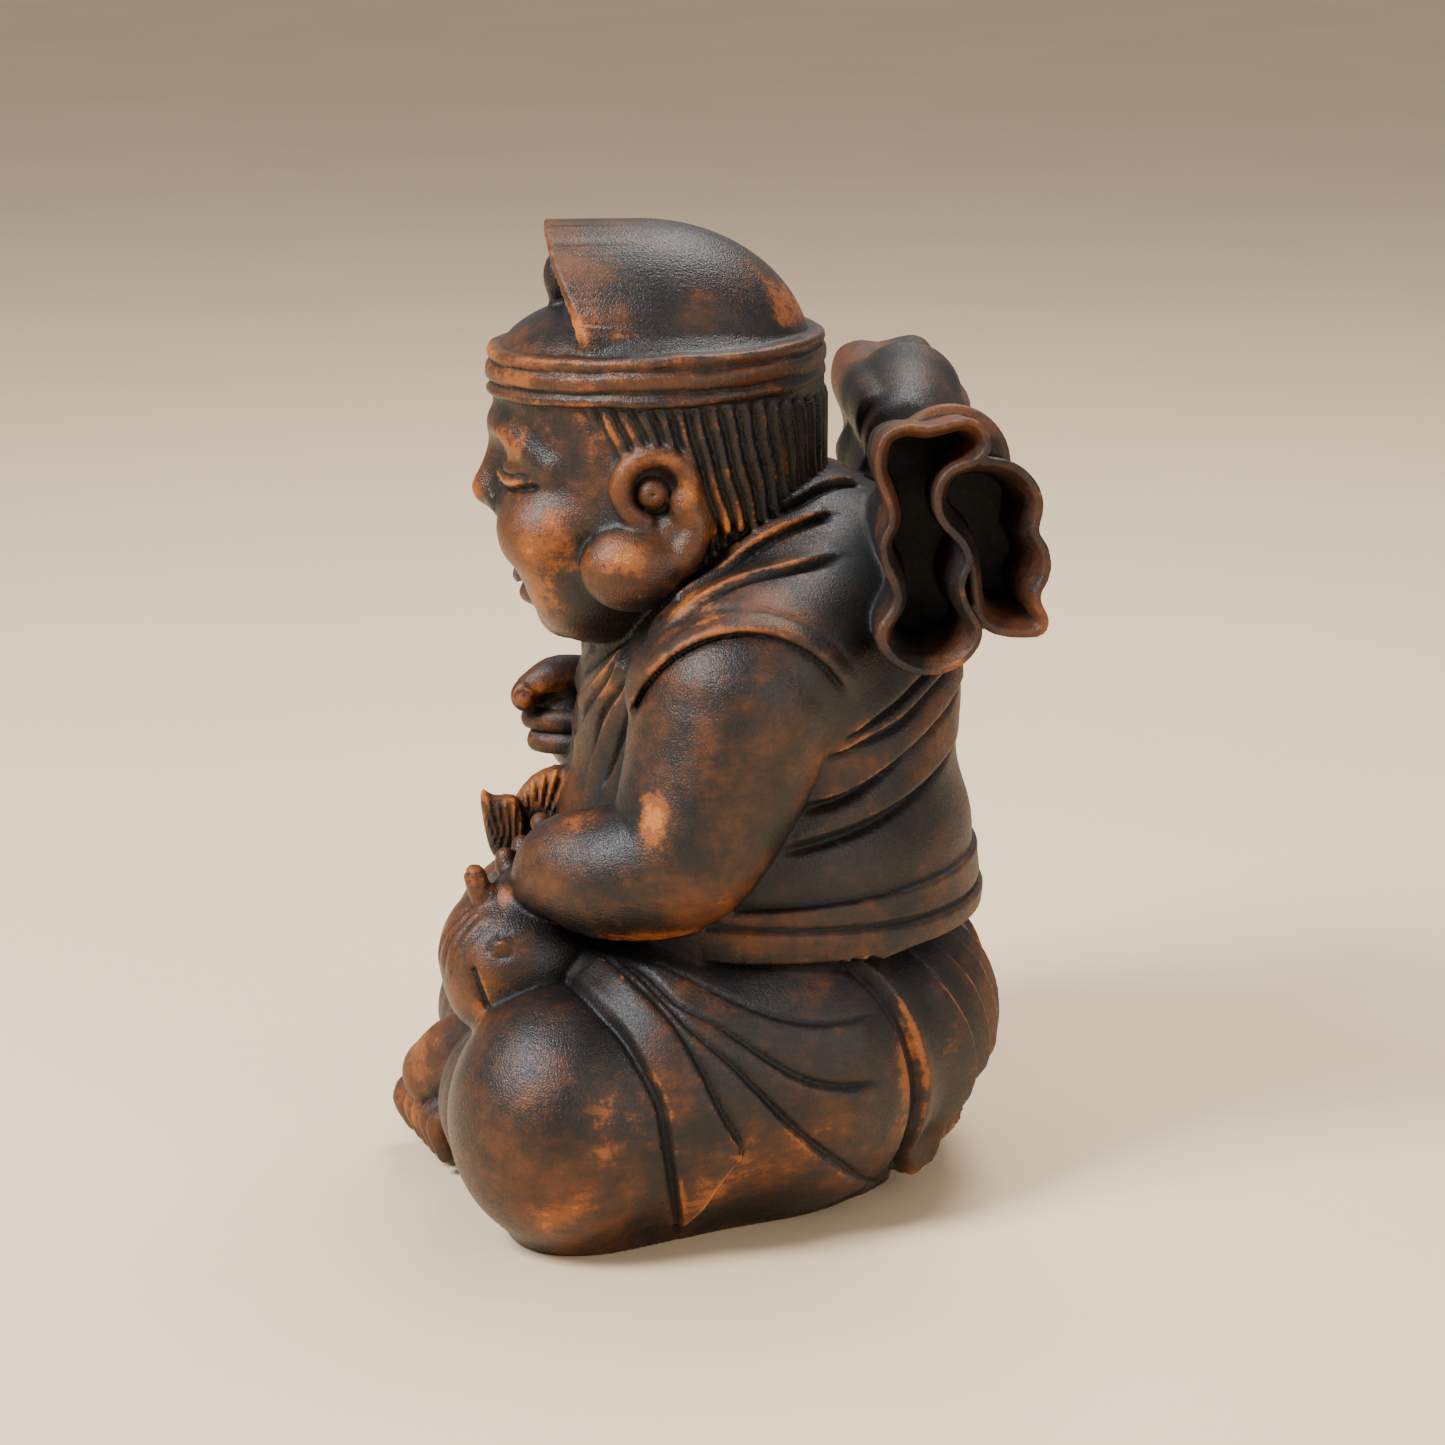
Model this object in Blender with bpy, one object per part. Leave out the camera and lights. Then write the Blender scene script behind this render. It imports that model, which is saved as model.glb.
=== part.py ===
"""A seated, carved wooden figure with a fish in its lap, as one solid.

The forms are set down as distances from named balls, limbs, plates and trumpets.
They are blended on a grid, the grid is turned into a closed surface, and the surface
is thinned to flat facets and cut level at the underside.

X is the figure's left, minus Y its front, and Z up.
"""
import math

import bmesh
import bpy
import numpy as np
import openvdb

# Overall height in metres. Every size below it is in 350ths of the height.
HEIGHT = 0.350
SHARES = 350.0

# Grid and facets
GRID = 2.2
FACETS = 9700
EMPTY = 40.0

# Trunk
BELLY_HALF_WIDTH = 88.0
BELLY_HALF_DEPTH = 78.0
BELLY_HEIGHT = 126.0
CHEST_HALF_WIDTH = 82.0
CHEST_HALF_DEPTH = 70.0
CHEST_HEIGHT = 178.0
NECK_HALF_WIDTH = 48.0
TRUNK_BLEND = 14.0

# Legs and seat
KNEE_REACH = 92.0
KNEE_FORWARD = 62.0
KNEE_RADIUS = 42.0
THIGH_RADIUS = 47.0
SEAT_HALF_WIDTH = 92.0
SEAT_HALF_DEPTH = 66.0
BASE_HEIGHT = 26.0
FOOT_LENGTH = 61.0
TOE_RADIUS = 5.2

# Belt
BELT_HALF_WIDTH = 93.5
BELT_HALF_DEPTH = 83.5
BELT_BACK_HALF_HEIGHT = 11.0
BELT_FRONT_HALF_HEIGHT = 8.8
BELT_LOW = 100.3

# Head
HEAD_HALF_WIDTH = 54.0
HEAD_HALF_DEPTH = 59.5
HEAD_SET_FORWARD = 23.0
HEAD_TOP = 300.0
CHEEK_RADIUS = 20.0
NOSE_RADIUS = 6.5
EAR_RING = 11.5
EAR_TUBE = 5.0
LOBE_RADIUS = 15.5
HAIR_RIDGES = 54
HAIR_DEPTH = 2.4
HAIR_LINE_DROP = 9.0
HAIR_SLANT_DROP = 10.0
HAIR_FRONT_TURN = 2.15
HAIR_FRONT_DROP = 8.0
HAIR_LENGTH = 55.0

# Hat
CREST_HALF_WIDTH = 46.0
CREST_LENGTH = 62.0
CREST_RISE = 50.0
CREST_RIM = 4.0
CREST_RECESS = 6.5
BAND_OUT = 3.2
BAND_STRAND = 7.2

# Arms and hands
SHOULDER_RADIUS = 37.0
ELBOW_RADIUS = 27.0
WRIST_RADIUS = 15.0
ARMHOLE_RADIUS = 38.5
ARMHOLE_STEP = 2.8
FINGER_RADIUS = 4.4

# Fish
FISH_HEAD_RADIUS = 27.0
TAIL_THICKNESS = 12.0

# Cloth trumpets behind the shoulders. Their wall and the depth of their hollow are in metres.
TRUMPET_REACH = 94.0
TRUMPET_WALL = 0.0038
TRUMPET_HOLLOW = 0.036

# Carved folds
FOLD_WIDTH = 2.6
FOLD_DEPTH = 3.0
FOLD_LIP = 2.2
FOLD_FADE = 15.0

# Pleats at the back of the skirt, as turns round the body from the middle of the back
PLEAT_TURNS = [0.20, 0.40, 0.62, 0.84]
PLEAT_END = 1.12
PLEAT_SLANT = 0.008
PLEAT_RISE = 4.4
HEM_TURNS = [0.0, 0.30, 0.55, 0.60, 0.75, 0.95, 1.1]
HEM_LEVELS = [43.0, 42.0, 38.0, 26.0, 15.0, 2.0, -12.0]
HEM_SLOPE = 1.25
HEM_DEPTH = 9.5
INNER_LEVEL = 17.6
INNER_TOP = 38.0
INNER_SLOPE = 0.8

# Outline of the ground contact from the middle of the back to the middle of the front
GROUND_LINE = [
    (0, 56), (30, 57), (48, 53), (72, 18), (92, -20), (104, -46), (100, -70), (78, -82), (40, -84),
    (0, -84),
]

# Outline of each trumpet mouth, as back of the figure and height
FRONT_MOUTH = [
    (45, 279), (46.9, 286.5), (51.3, 290), (57, 291.3), (63.3, 290.4), (71.3, 292.3), (77, 293),
    (81.7, 291),
    (84.8, 286), (84.3, 280.4), (78, 274.5), (74, 266), (74, 258.6), (78.3, 252.9), (80.4, 246.7),
    (78.5, 240.6),
    (76.6, 234.5), (78.7, 227.4), (82.7, 220.7), (82.1, 214.1), (77, 207.6), (70, 204.2), (62.8, 203.4),
    (55.4, 205.7), (49.7, 210.4), (46.7, 216.4), (47.6, 221.5), (51.8, 228.2), (51.9, 233.6), (49.4, 239.4),
    (47.2, 246), (47.3, 251.2), (49.8, 256.5), (49.8, 260.6), (48.2, 266), (45.7, 272),
]
BACK_MOUTH = [
    (65.9, 261), (66.2, 269.2), (69.7, 274.8), (75.3, 277.8), (82.6, 278.7), (90.7, 277.7), (97.2, 274.3),
    (102.2, 268.3), (104, 261.7), (103.2, 256), (102.7, 252), (105.9, 247), (107.3, 240.8), (106.2, 235),
    (103.7, 230.5), (104.1, 226.8), (106.5, 222), (106.2, 218), (103, 215.2), (94.2, 215.1), (86.9, 216.7),
    (81.5, 221), (79, 230), (78, 240.3), (74.8, 249), (69.5, 254.4),
]
# Balls that shape the round part of each trumpet, as back of the figure, height and radius
CORE_MOUTH = [(74, 272, 22), (72, 250, 24)]

# Lines carved in the robe, each through points on the left side
SHOULDER_FOLDS = [
    [(49, -8, 242), (50, 0, 248), (44, 12, 251), (39, 23, 254), (29, 33, 257), (20, 41, 257),
     (14, 48, 256)],
    [(64, -22, 225), (61, -14, 231), (58, -4, 238), (53, 7, 242), (49, 16, 245), (45, 25, 247),
     (40, 36, 249)],
    [(80, -36, 204), (80, -31, 213), (79, -24, 220), (77, -16, 225), (74, -5, 230), (69, 8, 234),
     (57, 38, 238)],
]
BACK_FOLDS = [
    [(84, 34, 180), (80, 48, 185), (71, 58, 190), (62, 66, 196), (40, 78, 205)],
    [(84, 30, 172), (80, 46, 177), (70, 59, 182), (54, 70, 191), (28, 82, 201)],
    [(86, 21, 155), (80, 38, 158), (72, 54, 165), (59, 68, 174), (41, 80, 182), (16, 87, 190)],
    [(89, 14, 142), (82, 28, 143), (74, 43, 146), (62, 60, 152), (46, 74, 159), (18, 85, 168)],
]
CHEST_FOLDS = [
    [(39, -37, 205), (34, -43, 195), (26, -48, 187), (9, -53, 177)],
    [(42, -38, 201), (41, -41, 194), (36, -45, 186), (20, -51, 172), (4, -55, 160)],
    [(56, -37, 199), (54, -40, 193), (43, -43, 181), (37, -45, 173), (28, -51, 152)],
]
KNEE_LINE = [
    (76, -60, 92), (92, -57, 92), (104, -51, 90), (113, -42, 82), (121, -35, 72), (124, -30, 61),
    (124, -27, 44),
    (116, -24, 24), (95, -22, 2),
]
FLAP_LINE = [
    (80, -49, 102), (96, -40, 97), (108, -31, 91), (115, -23, 82), (119, -17, 72), (122, -9, 56),
    (117, -1, 41),
]
FLAP_END = [(117, -1, 41), (115, -11, 27), (103, -21, 8)]
SIDE_FOLDS = [
    [(84, -43, 101), (97, -36, 98), (108, -27, 92), (114, -17, 82), (113, -3, 67), (110, 10, 53),
     (105, 22, 41),
     (97, 35, 28), (62, 53, 6)],
    [(86, -40, 101), (97, -32, 98), (106, -23, 92), (108, -9, 83), (109, 6, 72), (108, 21, 63),
     (104, 36, 59),
     (98, 48, 59)],
    [(85, -36, 102), (92, -23, 98), (98, -7, 91), (100, 8, 84), (101, 24, 81), (97, 37, 80), (91, 48, 81)],
]
HIP_LINE = [(80, 38, 102), (82, 50, 88), (84, 57, 76), (85, 61, 64), (83, 63, 48), (75, 60, 28), (50, 58, 4)]


def smooth_min(a, b, reach):
    """The lower of two distances, with the corner between them rounded over a reach."""
    if reach <= 0:
        return np.minimum(a, b)
    h = np.maximum(reach - np.abs(a - b), 0.0) / reach
    return np.minimum(a, b) - h * h * (reach * 0.25)


def curve(points, count):
    """A smooth curve through points of any width."""
    p = np.asarray(points, float)
    if len(p) < 3:
        t = np.linspace(0, 1, count)[:, None]
        return p[0] * (1 - t) + p[-1] * t
    q = np.vstack([2 * p[0] - p[1], p, 2 * p[-1] - p[-2]])
    u = np.linspace(0, len(p) - 1, count)
    i = np.minimum(u.astype(int), len(p) - 2)
    t = (u - i)[:, None]
    a, b, c, d = q[i], q[i + 1], q[i + 2], q[i + 3]
    return 0.5 * (2 * b + (c - a) * t + (2 * a - 5 * b + 4 * c - d) * t**2 + (3 * b - a - 3 * c + d) * t**3)


def closed_curve(points, steps):
    """A smooth closed curve through flat points."""
    p = np.asarray(points, float)
    q = np.vstack([p[-2:], p, p[:3]])
    u = 2 + np.arange(len(p) * steps) / steps
    i = u.astype(int)
    t = (u - i)[:, None]
    a, b, c, d = q[i - 1], q[i], q[i + 1], q[i + 2]
    return 0.5 * (2 * b + (c - a) * t + (2 * a - 5 * b + 4 * c - d) * t**2 + (3 * b - a - 3 * c + d) * t**3)


def ball(centre, radii):
    """A ball with a radius along each axis."""
    c = np.asarray(centre, float)
    r = np.asarray(radii, float) if np.ndim(radii) else np.full(3, float(radii))

    def distance(x, y, z):
        dx, dy, dz = x - c[0], y - c[1], z - c[2]
        k0 = np.sqrt((dx / r[0]) ** 2 + (dy / r[1]) ** 2 + (dz / r[2]) ** 2)
        k1 = np.sqrt((dx / r[0] ** 2) ** 2 + (dy / r[1] ** 2) ** 2 + (dz / r[2] ** 2) ** 2)
        return k0 * (k0 - 1.0) / np.maximum(k1, 1e-6)

    return distance, c - r, c + r


def limb(points, samples=12):
    """A round limb through points, each given as x, y, z and radius."""
    p = curve(points, samples)

    def distance(x, y, z):
        best = None
        for a, b in zip(p[:-1], p[1:]):
            d = b[:3] - a[:3]
            dx, dy, dz = x - a[0], y - a[1], z - a[2]
            h = np.clip((dx * d[0] + dy * d[1] + dz * d[2]) / (float(d @ d) + 1e-9), 0, 1)
            s = np.sqrt((dx - h * d[0]) ** 2 + (dy - h * d[1]) ** 2 + (dz - h * d[2]) ** 2)
            s = s - (a[3] + h * (b[3] - a[3]))
            best = s if best is None else np.minimum(best, s)
        return best

    return distance, (p[:, :3] - p[:, 3:]).min(0), (p[:, :3] + p[:, 3:]).max(0)


def outline_distance(u, v, points):
    """Distance from a closed flat outline, below zero inside it."""
    best = None
    inside = None
    for a, b in zip(points, np.roll(points, -1, axis=0)):
        d = b - a
        du, dv = u - a[0], v - a[1]
        h = np.clip((du * d[0] + dv * d[1]) / (float(d @ d) + 1e-9), 0, 1)
        s = (du - h * d[0]) ** 2 + (dv - h * d[1]) ** 2
        best = s if best is None else np.minimum(best, s)
        rise = b[1] - a[1]
        rise = rise if abs(rise) > 1e-9 else 1e-9
        c = ((a[1] > v) != (b[1] > v)) & (u < (b[0] - a[0]) * (v - a[1]) / rise + a[0])
        inside = c if inside is None else inside ^ c
    return np.sqrt(best) * np.where(inside, -1.0, 1.0)


def plate(points, low, high, axis, edge):
    """A plate with a smooth closed outline, between two levels on one axis, with rounded edges."""
    line = closed_curve(points, 3)
    first, last = line.min(0), line.max(0)

    def distance(x, y, z):
        u, v, w = {"x": (y, z, x), "z": (x, y, z)}[axis]
        d = outline_distance(u, v, line) + edge
        e = np.abs(w - 0.5 * (low + high)) - 0.5 * (high - low) + edge
        return np.minimum(np.maximum(d, e), 0) + np.hypot(np.maximum(d, 0), np.maximum(e, 0)) - edge

    if axis == "x":
        return distance, np.array([low, first[0], first[1]]), np.array([high, last[0], last[1]])
    return distance, np.array([first[0], first[1], low]), np.array([last[0], last[1], high])


class Wood:
    """A block of grid points that holds the distance from the surface, below zero inside."""

    def __init__(self, low, high, step):
        self.step = step
        self.low = np.floor(np.asarray(low, float) / step) * step
        self.shape = tuple(np.ceil((np.asarray(high, float) - self.low) / step).astype(int) + 1)
        self.field = np.full(self.shape, EMPTY, np.float32)

    def block(self, low, high, pad=0.0):
        top = np.array(self.shape)
        i = np.clip(np.floor((np.asarray(low, float) - pad - self.low) / self.step), 0, top - 1).astype(int)
        j = np.clip(np.ceil((np.asarray(high, float) + pad - self.low) / self.step) + 1, 1, top).astype(int)
        part = tuple(slice(a, b) for a, b in zip(i, j))
        axes = [(self.low[n] + np.arange(i[n], j[n]) * self.step).astype(np.float32) for n in range(3)]
        return part, axes[0][:, None, None], axes[1][None, :, None], axes[2][None, None, :]

    def add(self, form, blend=0.0):
        distance, low, high = form
        part, x, y, z = self.block(low, high, max(blend, 3 * self.step))
        self.field[part] = smooth_min(self.field[part], distance(x, y, z).astype(np.float32), blend)

    def pair(self, form_of, blend=0.0):
        for side in (1, -1):
            self.add(form_of(side), blend)

    def cut(self, form, blend=0.0):
        distance, low, high = form
        part, x, y, z = self.block(low, high, max(blend, 3 * self.step))
        self.field[part] = -smooth_min(-self.field[part], distance(x, y, z).astype(np.float32), blend)

    def shift(self, low, high, change):
        part, x, y, z = self.block(low, high)
        self.field[part] += change(x, y, z).astype(np.float32)

    def join(self, other, blend=0.0):
        self.field = smooth_min(self.field, other.field, blend)

    def reading(self, points):
        """The distance at loose points, read between the grid points."""
        g = (np.asarray(points) - self.low) / self.step
        top = np.array(self.shape)
        g = np.clip(g, 0, top - 1.001)
        i = g.astype(int)
        f = g - i
        total = 0.0
        for corner in np.ndindex(2, 2, 2):
            w = np.prod(np.where(corner, f, 1 - f), axis=1)
            at = i + np.array(corner)
            total = total + w * self.field[at[:, 0], at[:, 1], at[:, 2]]
        return total

    def outward(self, points):
        """The direction out of the wood at loose points."""
        out = np.zeros((len(points), 3))
        for n in range(3):
            d = np.zeros(3)
            d[n] = self.step
            out[:, n] = self.reading(points + d) - self.reading(points - d)
        return out / np.maximum(np.linalg.norm(out, axis=1), 1e-6)[:, None]

    def fold(self, line, width, depth, lip, fade, side=1.0):
        """Carves a groove along a line laid on the surface, with cloth that swells to one side."""
        p = curve(line, 5 * len(line))
        for _ in range(3):
            away = self.reading(p)
            p = p - self.outward(p) * np.clip(away, -4, 4)[:, None]
        normal = self.outward(p)
        reach = max(3 * width, 2.2 * fade)
        part, x, y, z = self.block(p.min(0) - reach, p.max(0) + reach)
        best = None
        across = None
        along = None
        for n in range(len(p) - 1):
            a, d = p[n], p[n + 1] - p[n]
            length = float(np.linalg.norm(d)) + 1e-9
            turn = np.cross(normal[n], d / length)
            dx, dy, dz = x - a[0], y - a[1], z - a[2]
            h = np.clip((dx * d[0] + dy * d[1] + dz * d[2]) / length**2, 0, 1)
            s = (dx - h * d[0]) ** 2 + (dy - h * d[1]) ** 2 + (dz - h * d[2]) ** 2
            t = (dx - h * d[0]) * turn[0] + (dy - h * d[1]) * turn[1] + (dz - h * d[2]) * turn[2]
            if best is None:
                best, across, along = s, t + 0 * s, n + h
            else:
                near = s < best
                across = np.where(near, t, across)
                along = np.where(near, n + h, along)
                best = np.where(near, s, best)
        away = np.sqrt(best)
        along = along / (len(p) - 1)
        ends = np.clip(np.minimum(along, 1 - along) / 0.12 + 0.15, 0, 1)
        groove = depth * np.exp(-((away / width) ** 2))
        step = 1 + np.exp(np.clip(-across * side / (0.35 * width), -30, 30))
        swell = np.exp(-((away / fade) ** 2)) / step
        self.field[part] += ((groove - lip * swell) * ends).astype(np.float32)


def trunk(wood):
    belly = ball((0, 14, BELLY_HEIGHT), (BELLY_HALF_WIDTH, BELLY_HALF_DEPTH, 60))
    chest = ball((0, 17, CHEST_HEIGHT), (CHEST_HALF_WIDTH, CHEST_HALF_DEPTH, 58))
    wood.add(belly)
    wood.add(chest, TRUNK_BLEND)
    wood.add(ball((0, 36, 212), (72, 50, 44)), TRUNK_BLEND)
    wood.pair(lambda s: ball((s * 58, 8, 200), (42, 40, 34)), TRUNK_BLEND)
    wood.add(ball((0, 10, 234), (NECK_HALF_WIDTH, 42, 34)), TRUNK_BLEND)


def legs(wood):
    knee = KNEE_REACH
    front = -KNEE_FORWARD
    wood.add(ball((0, -22, 48), (88, 60, 46)), 10)
    wood.pair(
        lambda s: limb([(s * knee, front + 2, 44, 34), (s * 60, -74, 40, 32), (s * 20, -76, 38, 26)], 8), 8)
    wood.pair(lambda s: ball((s * 58, 14, 54), (52, 58, 54)), 6)
    wood.pair(
        lambda s: limb([(s * knee, front + 10, 48, KNEE_RADIUS - 2), (s * 74, -20, 52, THIGH_RADIUS),
                        (s * 52, 15, 54, THIGH_RADIUS + 1)], 8), 6)
    wood.pair(lambda s: ball((s * 64, -29, 64), (46, 47, 43)), 6)
    wood.pair(lambda s: ball((s * knee, front, 47), (KNEE_RADIUS, KNEE_RADIUS - 1, 46.5)), 2)


def base(wood):
    line = GROUND_LINE + [(-x, y) for x, y in GROUND_LINE[-2:0:-1]]
    wood.add(plate(line, -8, BASE_HEIGHT, "z", 6), 14)


def seat(wood):
    """The skirt round the seat, with pleats that lap over one another towards the middle of the back."""
    wood.add(ball((0, 34, 57), (SEAT_HALF_WIDTH, SEAT_HALF_DEPTH, 56)), 4)
    inner = SEAT_HALF_WIDTH + 2 - HEM_DEPTH

    def under_layer(x, y, z):
        middle = 0.5 * (INNER_TOP + INNER_LEVEL) - 4
        half = 0.5 * (INNER_TOP - INNER_LEVEL) + 4
        return np.maximum(np.maximum(np.hypot(x, y - 6) - inner, np.abs(z - middle) - half), 40 - y)

    wood.add((under_layer, np.array([-72, 40, 8]), np.array([72, inner + 8, INNER_TOP])), 3)

    def pleats(x, y, z):
        turn = np.arctan2(np.abs(x), y - 6) * (1 + PLEAT_SLANT * (100 - z))
        rise = np.full_like(turn, 0.3)
        for low, high in zip(PLEAT_TURNS, PLEAT_TURNS[1:] + [PLEAT_END]):
            inside = 1 / (1 + np.exp(np.clip(-(turn - low) / 0.01, -30, 30)))
            share = np.clip((high - turn) / (high - low), 0, 1)
            lap = 0.2 + 0.8 * share**1.3
            rise = np.where(turn > low - 0.05, rise + (lap - rise) * inside, rise)
        level = np.clip((101 - z) / 20, 0, 1) * np.clip((y - 20) / 30, 0, 1)
        return -PLEAT_RISE * (rise - 0.35) * level

    wood.shift((-96, 10, 4), (96, 116, 106), pleats)


def undercut(wood):
    """The slopes under the raised hem at the back and under the layer inside it."""
    ring = SEAT_HALF_WIDTH + 2
    inner = ring - HEM_DEPTH

    def slope(x, y, z):
        away = np.hypot(x, y - 6)
        turn = np.arctan2(np.abs(x), y - 6)
        hem = np.interp(turn, HEM_TURNS, HEM_LEVELS)
        under = hem - HEM_SLOPE * (ring - away)
        beneath = np.minimum(INNER_LEVEL, hem) - INNER_SLOPE * (inner - away)
        level = np.where(away > inner, under, np.minimum(beneath, under))
        return (z - level) / math.hypot(1, HEM_SLOPE)

    wood.cut((slope, np.array([-96, 20, -12]), np.array([96, 116, 46])), 1.5)


def belt(wood):
    def wraps(x, y, z):
        back = np.clip((y + 30) / 120, 0, 1)
        half = BELT_FRONT_HALF_HEIGHT + (BELT_BACK_HALF_HEIGHT - BELT_FRONT_HALF_HEIGHT) * back
        middle = BELT_LOW + half
        overlap = BELT_LOW + 14.0 - 6.0 * back
        ring = np.sqrt((x / BELT_HALF_WIDTH) ** 2 + ((y - 13) / BELT_HALF_DEPTH) ** 2)
        out = (ring - 1) * 86
        under = z < overlap
        groove = 2.0 * np.exp(-(((z - overlap) / 1.8) ** 2))
        slope = np.where(under, 0.10 * (overlap - z), 1.2 + 0.12 * (z - overlap))
        ends = np.abs(z - middle) - half
        return np.maximum(np.maximum(out + groove + slope, ends), -out - 16)

    part, x, y, z = wood.block((-108, -90, 90), (108, 110, 130))
    wood.field[part] = smooth_min(wood.field[part], wraps(x, y, z).astype(np.float32), 1.5)


def head(wood):
    wide, deep, set_forward = HEAD_HALF_WIDTH, HEAD_HALF_DEPTH, HEAD_SET_FORWARD
    face = -set_forward - deep

    def drum(x, y, z):
        ring = np.sqrt((x / wide) ** 2 + ((y + set_forward) / deep) ** 2)
        return np.maximum((ring - 1) * 55, np.maximum(248 - z, z - HEAD_TOP))

    wood.add((drum, np.array([-wide, face, 248]), np.array([wide, deep - set_forward, HEAD_TOP])))
    wood.add(ball((0, -set_forward - 1, 246), (wide - 3, deep - 4.5, 44)), 6)
    wood.add(ball((0, -34, 228), (42, 38, 32)), 10)
    cheek = CHEEK_RADIUS
    wood.pair(lambda s: ball((s * 27, face + cheek + 0.5, 243), (cheek + 1, cheek, cheek - 2)), 8)
    wood.pair(lambda s: ball((s * 24, -50, 223), (22, 20, 20)), 9)
    wood.add(ball((0, -57, 208), (16, 10, 9)), 6)
    brow = [(6, face + 2.5, 277, 4), (20, face + 6.5, 276.5, 4.8), (38, -63, 267, 3.8)]
    wood.pair(lambda s: limb([(s * x, y, z, r) for x, y, z, r in brow]), 6)
    nose = NOSE_RADIUS
    wood.add(limb([(0, face + 3.5, 270, 4), (0, face + 0.5, 261, 5), (0, face - 1.5, 254, nose)]), 5)
    wood.pair(lambda s: ball((s * 7, face + 2.5, 251.5), nose - 1), 3)
    for s in (1, -1):
        wood.cut(ball((s * 18, face - 1, 269.5), (10, 4.5, 5)), 4)
    wood.pair(lambda s: ball((s * 21, -69, 263), (11, 9.5, 7.5)), 3)
    wood.add(ball((0, -69, 222), (12, 6, 4)), 3)
    wood.add(ball((0, -68, 215), (10, 6, 4)), 2)
    for s in (1, -1):
        lid = [(s * 11, -81.5, 263, 1.4), (s * 20, -79, 258.5, 1.6), (s * 32, -70.5, 255, 1.3)]
        wood.cut(limb(lid, 8), 0.8)


def hair(wood):
    wide, deep = HEAD_HALF_WIDTH, HEAD_HALF_DEPTH

    def ridges(x, y, z):
        turn = np.arctan2(np.abs(x), y + HEAD_SET_FORWARD)
        slant = (HEAD_TOP - HAIR_SLANT_DROP - z) * 0.0055 * np.clip(turn, 0, 1.8)
        wave = 0.5 - 0.5 * np.cos((turn + slant) * HAIR_RIDGES)
        front = HAIR_FRONT_TURN + (z - HEAD_TOP + HAIR_FRONT_DROP) * 0.012
        under_band = np.clip((HEAD_TOP - HAIR_LINE_DROP - z) / 3, 0, 1)
        inside = np.clip((front - turn) / 0.08, 0, 1) * under_band
        ring = np.sqrt((x / wide) ** 2 + ((y + HEAD_SET_FORWARD) / deep) ** 2)
        skin = np.clip((ring - 0.85) / 0.05, 0, 1)
        return (HAIR_DEPTH * wave - 0.5 * HAIR_DEPTH) * inside * skin

    top = HEAD_TOP - HAIR_LINE_DROP + 2
    back = deep - HEAD_SET_FORWARD + 10
    wood.shift((-wide - 8, -deep - 10, top - HAIR_LENGTH), (wide + 8, back, top), ridges)


def ears(wood):
    side = HEAD_HALF_WIDTH - 1
    for s in (1, -1):
        wood.cut(ball((s * (side + 6), -28, 259), (9, 13, 14)), 2)
        turns = np.linspace(-0.7, 4.4, 14)
        ring = []
        for a in turns:
            tube = EAR_TUBE if a < 3.4 else 3.6
            ring.append((s * side, -27 + EAR_RING * math.cos(a), 262 + EAR_RING * math.sin(a), tube))
        wood.add(limb(ring, 26), 1)
        rear = [(s * (side - 1), -17, 258, 5), (s * side, -13, 248, 5.5), (s * side, -18, 238, 7)]
        wood.add(limb(rear, 10), 3)
        wood.add(ball((s * (side - 2), -35, 234), (13, LOBE_RADIUS + 3, LOBE_RADIUS)), 3)
        wood.add(ball((s * (side - 3), -28, 259), (6, 5.5, 5.5)), 1)
        wood.cut(ball((s * (side + 3.4), -28, 259), 1.7), 0.5)


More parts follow.
